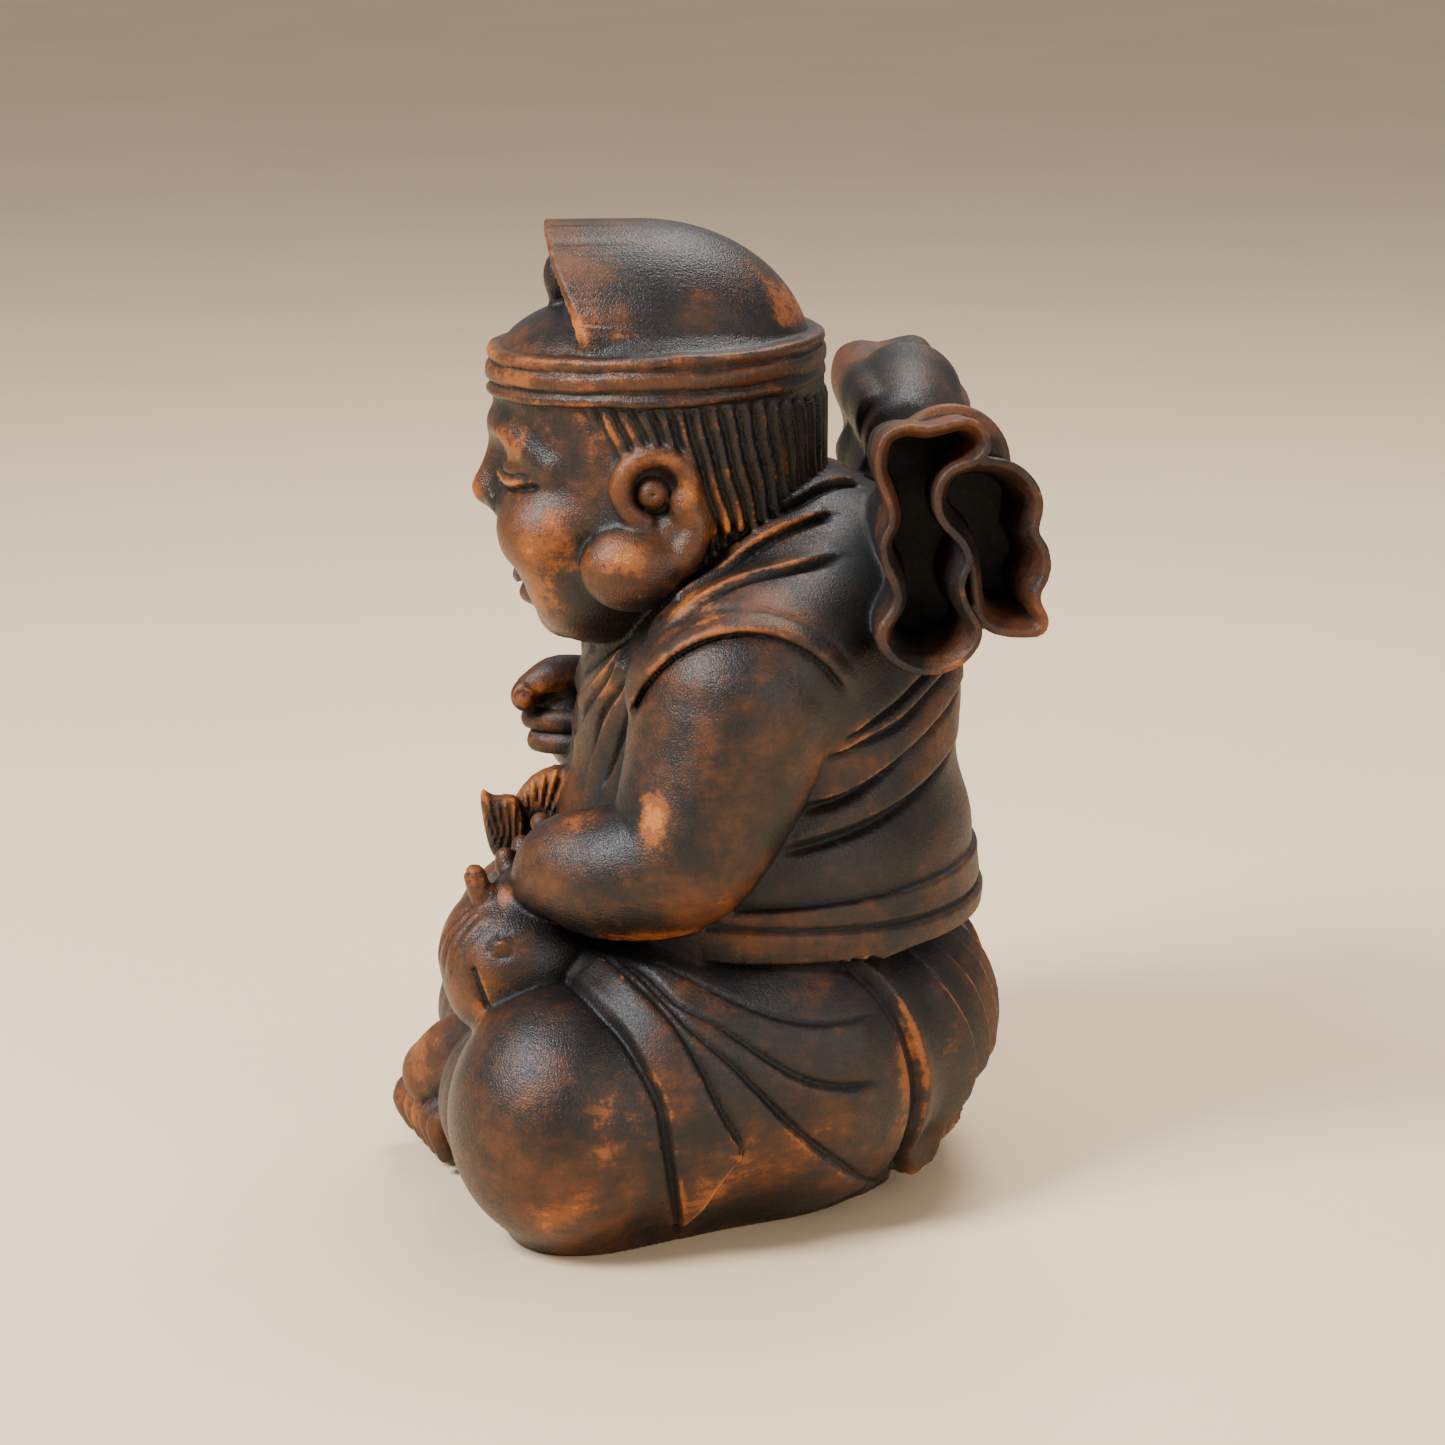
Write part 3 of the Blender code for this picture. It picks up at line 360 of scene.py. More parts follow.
class Wood:
    """A block of grid points that holds the distance from the carved surface."""

    def __init__(self, low: Sequence[float], high: Sequence[float], step: float) -> None:
        """Starts an empty block.

        Args:
            low: Lowest corner.
            high: Highest corner.
            step: Distance between grid points.
        """
        self.step = step
        self.low = np.floor(np.asarray(low, float) / step) * step
        self.shape = tuple(np.ceil((np.asarray(high, float) - self.low) / step).astype(int) + 1)
        self.field = np.full(self.shape, EMPTY, np.float32)

    def block(self, low: Array, high: Array, pad: float = 0.0) -> Region:
        """Finds the grid points in a box.

        Args:
            low: Lowest corner.
            high: Highest corner.
            pad: How far the box is widened on every side.

        Returns:
            The slices of the grid, then the places along X, Y and Z.
        """
        top = np.array(self.shape)
        i = np.clip(np.floor((np.asarray(low, float) - pad - self.low) / self.step), 0, top - 1).astype(int)
        j = np.clip(np.ceil((np.asarray(high, float) + pad - self.low) / self.step) + 1, 1, top).astype(int)
        part = tuple(slice(a, b) for a, b in zip(i, j))
        axes = [(self.low[n] + np.arange(i[n], j[n]) * self.step).astype(np.float32) for n in range(3)]
        return part, axes[0][:, None, None], axes[1][None, :, None], axes[2][None, None, :]

    def add(self, form: Form, blend: float = 0.0) -> None:
        """Joins a form to the wood, rounded where they meet by blend."""
        part, x, y, z = self.block(*form.box(), max(blend, FORM_PAD))
        self.field[part] = smooth_min(self.field[part], form.distance(x, y, z).astype(np.float32), blend)

    def add_pair(self, centre: Point, radii: Point, blend: float) -> None:
        """Joins a ball on each side, the same distance from the middle.

        Args:
            centre: Where the left one is.
            radii: Its radius along each axis.
            blend: How far it is rounded where it meets the wood.
        """
        for side in Side:
            self.add(Ball((side.value * centre[0], *centre[1:]), radii), blend)

    def cut(self, form: Form, blend: float = 0.0) -> None:
        """Takes a form out of the wood, rounded at its rim by blend."""
        part, x, y, z = self.block(*form.box(), max(blend, FORM_PAD))
        self.field[part] = -smooth_min(-self.field[part], form.distance(x, y, z).astype(np.float32), blend)

    def shift(self, low: Sequence[float], high: Sequence[float], change: Change) -> None:
        """Lowers the surface in a box by change, or raises it where change is below zero."""
        part, x, y, z = self.block(low, high)
        self.field[part] += change(x, y, z).astype(np.float32)

    def join(self, other: Wood, blend: float) -> None:
        """Joins another block of the same size, rounded where they meet by blend."""
        self.field = smooth_min(self.field, other.field, blend)

    def reading(self, points: Array) -> Array:
        """Reads the distance at loose points, between the grid points.

        Args:
            points: Places, one a row.

        Returns:
            The distance at each place.
        """
        top = np.array(self.shape)
        g = np.clip((np.asarray(points) - self.low) / self.step, 0, top - 1.001)
        i = g.astype(int)
        f = g - i
        total = np.zeros(len(g))
        for corner in np.ndindex(2, 2, 2):
            share = np.prod(np.where(corner, f, 1 - f), axis=1)
            at = i + np.array(corner)
            total = total + share * self.field[at[:, 0], at[:, 1], at[:, 2]]
        return total

    def outward(self, points: Array) -> Array:
        """Finds the direction out of the wood at loose points.

        Args:
            points: Places, one a row.

        Returns:
            Unit directions, one a row.
        """
        out = np.zeros((len(points), 3))
        reach = 1.6
        for n in range(3):
            d = np.zeros(3)
            d[n] = reach
            out[:, n] = self.reading(points + d) - self.reading(points - d)
        return out / np.maximum(np.linalg.norm(out, axis=1), LEAST_SLOPE)[:, None]

    def score(self, line: Sequence[Point], chisel: Chisel, side: float = 1.0) -> None:
        """Carves a line that is laid on the surface.

        Args:
            line: Points near the surface that the line follows.
            chisel: How it is cut.
            side: Which side of the line the cloth stands up on, 1 or -1.
        """
        p = curve(line, 6 * len(line))
        stride = 4
        for _ in range(4):
            p = p - self.outward(p) * np.clip(self.reading(p), -stride, stride)[:, None]
        normal = self.outward(p)
        reach = max(4 * chisel.width, 2.0 * chisel.fade)
        part, x, y, z = self.block(p.min(0) - reach, p.max(0) + reach)
        best = None
        for n in range(len(p) - 1):
            a, d = p[n], p[n + 1] - p[n]
            length = float(np.linalg.norm(d)) + TINY
            turn = np.cross(normal[n], d / length)
            dx, dy, dz = x - a[0], y - a[1], z - a[2]
            h = np.clip((dx * d[0] + dy * d[1] + dz * d[2]) / length**2, 0, 1)
            s = (dx - h * d[0]) ** 2 + (dy - h * d[1]) ** 2 + (dz - h * d[2]) ** 2
            t = (dx - h * d[0]) * turn[0] + (dy - h * d[1]) * turn[1] + (dz - h * d[2]) * turn[2]
            if best is None:
                best, across, along = s, t + 0 * s, n + h
            else:
                near = s < best
                across = np.where(near, t, across)
                along = np.where(near, n + h, along)
                best = np.where(near, s, best)
        along = along / (len(p) - 1)
        ends = np.clip(np.minimum(along, 1 - along) / chisel.run_out + chisel.blunt, 0, 1)
        off = np.sqrt(np.maximum(best - across**2, 0))
        ground = across * side + chisel.set_off * chisel.width
        fall = (ground / chisel.width) ** 2 + (off / (chisel.spill * chisel.width)) ** 2
        groove = chisel.depth * np.exp(-fall)
        raised = np.exp(-best / chisel.fade**2) * rise_above(across * side / chisel.sharp)
        self.field[part] += ((groove - chisel.lip * raised) * ends).astype(np.float32)

    def softened(self, reach: float, limit: float = 4.0) -> Wood:
        """Makes a blurred copy, whose reading on the surface is above zero where the wood stands out.

        Args:
            reach: The blur's width.
            limit: Distances beyond this count as this.

        Returns:
            The copy, on a coarser grid where the blur is wide.
        """
        skip = max(1, int(reach / (2.2 * self.step)))
        copy = Wood((0, 0, 0), (self.step, self.step, self.step), self.step * skip)
        copy.low = self.low.copy()
        data = np.clip(self.field[::skip, ::skip, ::skip], -limit, limit)
        cells = reach / copy.step
        half = int(math.ceil(2.5 * cells))
        weights = np.exp(-0.5 * (np.arange(-half, half + 1) / cells) ** 2)
        weights /= weights.sum()
        for axis in range(3):
            padded = np.pad(data, [(half, half) if n == axis else (0, 0) for n in range(3)], mode="edge")
            total = np.zeros_like(data)
            for n, weight in enumerate(weights):
                window = [slice(None)] * 3
                window[axis] = slice(n, n + data.shape[axis])
                total += np.float32(weight) * padded[tuple(window)]
            data = total
        copy.field = data
        copy.shape = data.shape
        return copy


@dataclass
class Trunk:
    """The robed body from the seat to the neck."""

    belly: Ball = Ball((0, 14, 126), (88, 78, 60))
    chest: Ball = Ball((0, 17, 178), (82, 70, 58))
    back: Ball = Ball((0, 36, 212), (72, 50, 44))
    shoulder: Ball = Ball((58, 8, 200), (42, 40, 34))
    neck: Ball = Ball((0, 10, 234), (48, 42, 34))
    blend: float = 14.0

    def carve(self, wood: Wood) -> None:
        """Adds the body.

        Args:
            wood: The wood to work on.
        """
        wood.add(self.belly)
        wood.add(self.chest, self.blend)
        wood.add(self.back, self.blend)
        wood.add_pair(self.shoulder.centre, self.shoulder.radii, self.blend)
        wood.add(self.neck, self.blend)


@dataclass
class Skirt:
    """The cloth round the seat, with lapped pleats, a raised hem at the back and a layer inside it."""

    centre: Point = (0, 34, 57)
    radii: Point = (92, 66, 56)
    ring: float = 94.0
    ring_middle: float = 6.0
    hem_turns: Sequence[float] = (0.0, 0.30, 0.55, 0.60, 0.75, 0.95, 1.1)
    hem_levels: Sequence[float] = (43, 42, 38, 26, 15, 2, -12)
    hem_slope: float = 1.25
    hem_depth: float = 9.5
    inner_level: float = 17.6
    inner_top: float = 38.0
    inner_front: float = 40.0
    inner_slope: float = 0.8
    pleat_turns: Sequence[float] = (0.20, 0.40, 0.62, 0.84)
    pleat_end: float = 1.12
    pleat_slant: float = 0.008
    pleat_rise: float = 6.0
    pleat_groove: float = 2.2
    pleat_sharp: float = 0.006
    pleat_mean: float = 0.35
    pleat_line: float = 0.014
    pleat_line_off: float = 0.012
    pleat_top: float = 101.0

    def carve(self, wood: Wood) -> None:
        """Adds the seat, the layer under its hem and its pleats.

        Args:
            wood: The wood to work on.
        """
        wood.add(Ball(self.centre, self.radii), 4)
        inner = self.ring - self.hem_depth
        middle = 0.5 * (self.inner_top + self.inner_level) - 4
        half = 0.5 * (self.inner_top - self.inner_level) + 4

        def layer(x: Array, y: Array, z: Array) -> Array:
            """Gives the distance from the layer under the hem, below zero inside."""
            away = np.hypot(x, y - self.ring_middle)
            return np.maximum(np.maximum(away - inner, np.abs(z - middle) - half), self.inner_front - y)

        wood.add(Shaped(layer, (-72, self.inner_front, 8), (72, inner + 8, self.inner_top)), 3)
        wood.shift((-96, 10, 4), (96, 116, 106), self.pleats)

    def pleats(self, x: Array, y: Array, z: Array) -> Array:
        """Raises each pleat towards the line where it laps over the next one to the back.

        Args:
            x: Places along X.
            y: Places along Y.
            z: Places along Z.

        Returns:
            How far the surface is lowered.
        """
        turn = np.arctan2(np.abs(x), y - self.ring_middle) * (1 + self.pleat_slant * (100 - z))
        rise = np.full_like(turn, 0.3)
        groove = np.zeros_like(turn)
        for low, high in zip(self.pleat_turns, (*self.pleat_turns[1:], self.pleat_end)):
            inside = rise_above((turn - low) / self.pleat_sharp)
            share = np.clip((high - turn) / (high - low), 0, 1)
            lap = 0.2 + 0.8 * share**1.3
            rise = np.where(turn > low - 0.05, rise + (lap - rise) * inside, rise)
            groove = groove + ridge((turn - low + self.pleat_line_off) / self.pleat_line)
        level = np.clip((self.pleat_top - z) / 20, 0, 1) * np.clip((y - 20) / 30, 0, 1)
        return (self.pleat_groove * groove - self.pleat_rise * (rise - self.pleat_mean)) * level

    def undercut(self, wood: Wood) -> None:
        """Cuts the slopes under the hem at the back and under the layer inside it.

        Args:
            wood: The wood to work on.
        """
        inner = self.ring - self.hem_depth

        def slope(x: Array, y: Array, z: Array) -> Array:
            """Gives the distance from what is cut away under the cloth.

            Args:
                x: Places along X.
                y: Places along Y.
                z: Places along Z.

            Returns:
                The distance at each place, below zero inside.
            """
            away = np.hypot(x, y - self.ring_middle)
            hem = np.interp(np.arctan2(np.abs(x), y - self.ring_middle), self.hem_turns, self.hem_levels)
            under = hem - self.hem_slope * (self.ring - away)
            beneath = np.minimum(self.inner_level, hem) - self.inner_slope * (inner - away)
            level = np.where(away > inner, under, np.minimum(beneath, under))
            return (z - level) / math.hypot(1, self.hem_slope)

        wood.cut(Shaped(slope, (-96, 20, -12), (96, 116, 46)), 0.8)


@dataclass
class Legs:
    """Both crossed legs under the robe."""

    knee_reach: float = 92.0
    knee_forward: float = 62.0
    knee_radius: float = 42.0
    thigh_radius: float = 47.0

    def carve(self, wood: Wood) -> None:
        """Adds the lap, thighs and knees.

        Args:
            wood: The wood to work on.
        """
        knee, front = self.knee_reach, -self.knee_forward
        wood.add(Ball((0, -22, 48), (88, 60, 46)), 10)
        for side in Side:
            s = side.value
            shin = [(s * knee, front + 2, 44, 34), (s * 60, -74, 40, 32), (s * 20, -76, 38, 26)]
            wood.add(Limb(shin, 8), 8)
        wood.add_pair((58, 14, 54), (52, 58, 54), 6)
        for side in Side:
            s = side.value
            thigh = [
                (s * knee, front + 10, 48, self.knee_radius - 2),
                (s * 74, -20, 52, self.thigh_radius),
                (s * 52, 15, 54, self.thigh_radius + 1),
            ]
            wood.add(Limb(thigh, 8), 6)
            wood.add(Ball((s * 64, -29, 64), (46, 47, 43)), 6)
        wood.add_pair((knee, front, 47), (self.knee_radius, self.knee_radius - 1, 46.5), 2)


@dataclass
class Ground:
    """The flat part that the figure stands on."""

    half_outline: Sequence[Flat] = (
        (0, 56), (30, 57), (48, 53), (72, 18), (92, -20), (104, -46), (100, -70), (78, -82), (40, -84),
        (0, -84),
    )
    height: float = 26.0
    edge: float = 6.0

    def carve(self, wood: Wood) -> None:
        """Adds the ground contact.

        Args:
            wood: The wood to work on.
        """
        line = list(self.half_outline)
        line += [(-x, y) for x, y in line[-2:0:-1]]
        wood.add(Plate(line, -8, self.height, Across.Z, self.edge), 14)


@dataclass
class Belt:
    """The sash, in laps that cross at the side."""

    half_width: float = 93.5
    half_depth: float = 83.5
    middle_back: float = 13.0
    mean_radius: float = 86.0
    low: float = 100.3
    half_height_front: float = 8.8
    half_height_back: float = 11.0
    lap_front: float = 14.0
    lap_fall: float = 6.0
    lap_sharp: float = 0.45
    lap_groove: float = 1.9
    top_roll: float = 0.9
    thickness: float = 16.0
    blend: float = 0.9

    def carve(self, wood: Wood) -> None:
        """Adds the sash.

        Args:
            wood: The wood to work on.
        """

        def wraps(x: Array, y: Array, z: Array) -> Array:
            """Gives the distance from the lapped sash.

            Args:
                x: Places along X.
                y: Places along Y.
                z: Places along Z.

            Returns:
                The distance at each place, below zero inside.
            """
            back = np.clip((y + 30) / 120, 0, 1)
            half = self.half_height_front + (self.half_height_back - self.half_height_front) * back
            middle = self.low + half
            lap = self.low + self.lap_front - self.lap_fall * back
            ring = np.sqrt((x / self.half_width) ** 2 + ((y - self.middle_back) / self.half_depth) ** 2)
            out = (ring - 1) * self.mean_radius
            under = rise_above((lap - z) / self.lap_sharp)
            groove = self.lap_groove * ridge((z - lap - 0.6) / 1.1)
            slope = under * 0.10 * (lap - z) + (1 - under) * (1.3 + 0.12 * (z - lap))
            top = self.top_roll * ridge((z - middle - half + 1.6) / 1.2)
            ends = np.abs(z - middle) - half
            return np.maximum(np.maximum(out + groove + slope - 0.4 * top, ends), -out - self.thickness)

        part, x, y, z = wood.block(np.array((-108, -90, 90)), np.array((108, 110, 130)))
        wood.field[part] = smooth_min(wood.field[part], wraps(x, y, z).astype(np.float32), self.blend)


@dataclass
class Robe:
    """The carved lines of the cloth."""

    chisel: Chisel = Chisel()
    shoulder: Sequence[Sequence[Point]] = (
        ((49, -8, 242), (50, 0, 248), (44, 12, 251), (39, 23, 254), (29, 33, 257), (20, 41, 257),
         (14, 48, 256)),
        ((64, -22, 225), (61, -14, 231), (58, -4, 238), (53, 7, 242), (49, 16, 245), (45, 25, 247),
         (40, 36, 249)),
        ((80, -36, 204), (80, -31, 213), (79, -24, 220), (77, -16, 225), (74, -5, 230), (69, 8, 234),
         (57, 38, 238)),
    )
    back: Sequence[Sequence[Point]] = (
        ((84, 34, 180), (80, 48, 185), (71, 58, 190), (62, 66, 196), (40, 78, 205)),
        ((84, 30, 172), (80, 46, 177), (70, 59, 182), (54, 70, 191), (28, 82, 201)),
        ((86, 21, 155), (80, 38, 158), (72, 54, 165), (59, 68, 174), (41, 80, 182), (16, 87, 190)),
        ((89, 14, 142), (82, 28, 143), (74, 43, 146), (62, 60, 152), (46, 74, 159), (18, 85, 168)),
    )
    chest: Sequence[Sequence[Point]] = (
        ((39, -37, 205), (34, -43, 195), (26, -48, 187), (9, -53, 177)),
        ((42, -38, 201), (41, -41, 194), (36, -45, 186), (20, -51, 172), (4, -55, 160)),
        ((56, -37, 199), (54, -40, 193), (43, -43, 181), (37, -45, 173), (28, -51, 152)),
        ((62, -37, 190), (58, -39, 180), (50, -43, 166), (44, -46, 152)),
    )
    collar: Sequence[Sequence[Point]] = (
        ((38, -38, 211), (31, -42, 203), (24, -46, 196), (12, -51, 188)),
        ((36, -40, 214), (25, -43, 207), (14, -47, 201)),
    )
    lapel: Sequence[Point] = (
        (56, -30, 216), (70, -34, 211), (78, -36, 202), (79, -38, 193), (78, -40, 176), (70, -42, 158),
    )
    knee: Sequence[Point] = (
        (76, -60, 92), (92, -57, 92), (104, -51, 90), (113, -42, 82), (121, -35, 72), (124, -30, 61),
        (124, -27, 44), (116, -24, 24), (95, -22, 2),
    )
    flap: Sequence[Point] = (
        (80, -49, 102), (96, -40, 97), (108, -31, 91), (115, -23, 82), (119, -17, 72), (122, -9, 56),
        (117, -1, 41),
    )
    flap_end: Sequence[Point] = ((117, -1, 41), (115, -11, 27), (103, -21, 8))
    side: Sequence[Sequence[Point]] = (
        ((84, -43, 101), (97, -36, 98), (108, -27, 92), (114, -17, 82), (113, -3, 67), (110, 10, 53),
         (105, 22, 41), (97, 35, 28), (62, 53, 6)),
        ((86, -40, 101), (97, -32, 98), (106, -23, 92), (108, -9, 83), (109, 6, 72), (108, 21, 63),
         (104, 36, 59), (98, 48, 59)),
        ((85, -36, 102), (92, -23, 98), (98, -7, 91), (100, 8, 84), (101, 24, 81), (97, 37, 80),
         (91, 48, 81)),
    )
    hip: Sequence[Point] = (
        (80, 38, 102), (82, 50, 88), (84, 57, 76), (85, 61, 64), (83, 63, 48), (75, 60, 28), (50, 58, 4),
    )

    def carve_upper(self, wood: Wood) -> None:
        """Cuts the lines of the upper body, the same on both sides apart from the chest.

        Args:
            wood: The wood to work on.
        """
        deep = replace(self.chisel, width=1.35, depth=3.9, lip=2.2, fade=6, sharp=0.4, run_out=0.06)
        for side in Side:
            s = side.value
            for line, share in zip(self.shoulder, (0.9, 0.9, 1.1)):
                wood.score(flipped(line, side), deep.finer(share), s)
            for line in self.back:
                wood.score(flipped(line, side), replace(self.chisel, width=1.9, depth=3.6, lip=3.0), s)
            wood.score(flipped(self.lapel, side), replace(self.chisel, lip=1.6, fade=9), s)
        soft = replace(self.chisel, width=1.5, depth=2.9, lip=2.8, fade=8, sharp=0.8)
        for line in self.chest:
            wood.score(line, soft, 1)
            wood.score(flipped(line, Side.RIGHT), soft, -1)
        for line in self.collar:
            wood.score(line, replace(self.chisel, lip=2.2, fade=7), -1)
            wood.score(flipped(line, Side.RIGHT), replace(self.chisel, lip=2.2, fade=7), 1)

    def carve_lower(self, wood: Wood) -> None:
        """Cuts the lines of the skirt on both sides.

        Args:
            wood: The wood to work on.
        """
        bold = replace(self.chisel, width=1.25, depth=2.2, lip=2.3, fade=15)
        for side in Side:
            s = side.value
            wood.score(flipped(self.knee, side), replace(bold, width=1.4, depth=3.0, lip=2.4), s)
            wood.score(flipped(self.side[0], side), bold, -s)
            wood.score(flipped(self.side[1], side), replace(bold, width=1.1), -s)
            wood.score(flipped(self.side[2], side), replace(bold, width=1.0, depth=1.7, lip=1.8), -s)
            wood.score(flipped(self.flap, side), replace(bold, lip=3.6, fade=12, run_out=0.05), -s)
            wood.score(flipped(self.flap_end, side), replace(bold, lip=3.6, fade=9, run_out=0.05), -s)
            wood.score(flipped(self.hip, side), replace(bold, width=2.6, depth=4.8, lip=3.2, fade=10), s)


@dataclass
class Head:
    """The head below the cap."""

    half_width: float = 54.0
    half_depth: float = 59.5
    set_forward: float = 23.0
    top: float = 300.0
    cheek: float = 20.0
    nose: float = 6.5
    upper_lid: Sequence[Point] = (
        (10, -80, 261), (16, -80, 259), (24, -77, 258), (32, -71, 259), (37, -66, 261),
    )
    lid_fold: Sequence[Point] = ((12, -79, 265), (18, -79, 263.5), (25, -76, 263), (32, -70, 264.5))
    nose_wing: Sequence[Point] = ((9, -84, 257), (12.5, -82, 253), (12, -82, 248), (8, -84, 246))
    cheek_line: Sequence[Point] = ((12, -80, 247), (17, -79, 239), (20, -77, 230), (18, -75, 222))
    lips: Sequence[Point] = (
        (-12, -74, 221), (-6, -77, 218.5), (0, -78, 219), (6, -77, 218.5), (12, -74, 221),
    )

    def carve(self, wood: Wood) -> None:
        """Adds the skull, cheeks, brow, nose and mouth, all smooth and full.

        Args:
            wood: The wood to work on.
        """
        wide, deep, ahead = self.half_width, self.half_depth, self.set_forward
        face = -ahead - deep

        def drum(x: Array, y: Array, z: Array) -> Array:
            """Gives the distance from the round of the hair, below zero inside."""
            ring = np.sqrt((x / wide) ** 2 + ((y + ahead) / deep) ** 2)
            return np.maximum((ring - 1) * 55, np.maximum(248 - z, z - self.top))

        wood.add(Shaped(drum, (-wide, face, 248), (wide, deep - ahead, self.top)))
        wood.add(Ball((0, -ahead - 1, 246), (wide - 3, deep - 4.5, 44)), 6)
        wood.add(Ball((0, -34, 228), (42, 38, 32)), 10)
        cheek = self.cheek
        wood.add_pair((27, face + cheek + 0.5, 243), (cheek + 1, cheek, cheek - 2), 8)
        wood.add_pair((24, -50, 223), (22, 20, 20), 9)
        wood.add(Ball((0, -57, 208), (16, 10, 9)), 6)
        for side in Side:
            s = side.value
            brow = [(s * 6, face + 2.5, 277, 4), (s * 20, face + 6.5, 276.5, 4.8), (s * 38, -63, 267, 3.8)]
            wood.add(Limb(brow), 6)
        wood.add(Limb([(0, face + 3.5, 270, 4), (0, face + 0.5, 261, 5), (0, face - 1.5, 254, self.nose)]), 5)
        wood.add_pair((7, face + 2.5, 251.5), (5.5, 5.5, 5.5), 3)
        for side in Side:
            wood.cut(Ball((side.value * 18, face - 1, 269.5), (10, 4.5, 5)), 4)
        wood.add_pair((21, -69, 263), (11, 9.5, 7.5), 3)
        wood.add(Ball((0, -69, 222), (12, 6, 4)), 3)
        wood.add(Ball((0, -68, 215), (10, 6, 4)), 2)
        self.draw_lines(wood)

    def draw_lines(self, wood: Wood) -> None:
        """Cuts the closed lids, the nose wings, the cheek lines and the mouth.

        Args:
            wood: The wood to work on.
        """
        lid = Chisel(1.05, 3.0, 1.7, 3.5, 0.4, 0.12)
        thin = Chisel(0.8, 1.7, 0.9, 3.0, 0.4, 0.2)
        for side in Side:
            s = side.value
            wood.score(flipped(self.upper_lid, side), lid, s)
            wood.score(flipped(self.lid_fold, side), thin, s)
            wood.score(flipped(self.nose_wing, side), thin, s)
            wood.score(flipped(self.cheek_line, side), replace(thin, width=1.2), s)
        wood.score(self.lips, lid, 1)


@dataclass
class Hair:
    """Fine sharp locks under the cap, leaning forward over the ears."""

    ridges: float = 54.0
    depth: float = 2.9
    crisp: float = 1.5
    lean: float = 0.0042
    front_turn: float = 2.15
    top: float = 291.0

    def carve(self, wood: Wood, head: Head) -> None:
        """Cuts the locks into the head.

        Args:
            wood: The wood of the head alone.
            head: The head that they follow.
        """

        def locks(x: Array, y: Array, z: Array) -> Array:
            """Cuts the grooves and raises the locks between them.

            Args:
                x: Places along X.
                y: Places along Y.
                z: Places along Z.

            Returns:
                How far the surface is lowered, below zero where it is raised.
            """
            turn = np.arctan2(np.abs(x), y + head.set_forward)
            slant = (290 - z) * self.lean * np.clip(turn, 0, 1.8)
            wander = 0.035 * np.sin(z * 0.11 + 5 * turn) + 0.02 * np.sin(z * 0.23 + 11 * turn)
            wave = 0.5 - 0.5 * np.cos((turn + slant + 0.25 * wander) * self.ridges)
            sharp = wave**self.crisp
            front = self.front_turn + (z - 292) * 0.012
            below = np.clip((self.top - z) / 2.5, 0, 1)
            inside = np.clip((front - turn) / 0.05, 0, 1) * below
            ring = np.sqrt((x / head.half_width) ** 2 + ((y + head.set_forward) / head.half_depth) ** 2)
            skin = np.clip((ring - 0.85) / 0.05, 0, 1)
            edge = ridge((turn - front) / 0.03) * below * skin
            return (self.depth * sharp - 0.5 * self.depth) * inside * skin + 0.9 * edge

        wood.shift((-62, -70, 236), (62, 46, 293), locks)


@dataclass
class Ears:
    """Large ears with heavy lobes."""

    ring: float = 12.2
    tube: float = 4.1
    lobe: float = 15.5
    inner: float = 3.6
    boss: float = 6.0

    def carve(self, wood: Wood, head: Head) -> None:
        """Adds both ears.

        Args:
            wood: The wood of the head alone.
            head: The head that carries them.
        """
        out = head.half_width - 1
        turns = np.linspace(-0.7, 4.4, 14)
        for side in Side:
            s = side.value
            wood.cut(Ball((s * (out + 5), -28, 259), (9.5, 12.5, 13)), 1.5)
            rim = []
            for a in turns:
                back, up = -27 + self.ring * math.cos(a), 262 + self.ring * math.sin(a)
                rim.append((s * out, back, up, self.tube if a < 3.4 else self.inner))
            wood.add(Limb(rim, 26), 1)
            fall = [(s * (out - 1), -17, 258, 5), (s * out, -13, 248, 5.5), (s * out, -18, 238, 7)]
            wood.add(Limb(fall, 10), 3)
            wood.add(Ball((s * (out - 6), -22, 248), (7.5, 7.0, 6.0)), 3)
            wood.add(Ball((s * (out - 2), -35, 234), (13, self.lobe + 3, self.lobe)), 3)
            wood.add(Ball((s * (out - 2.6), -28.0, 260.5), (6.0, self.boss, self.boss)), 0.4)
            wood.cut(Ball((s * (out + 3.6), -28.0, 260.5), (1.8, 1.5, 1.5)), 0.4)


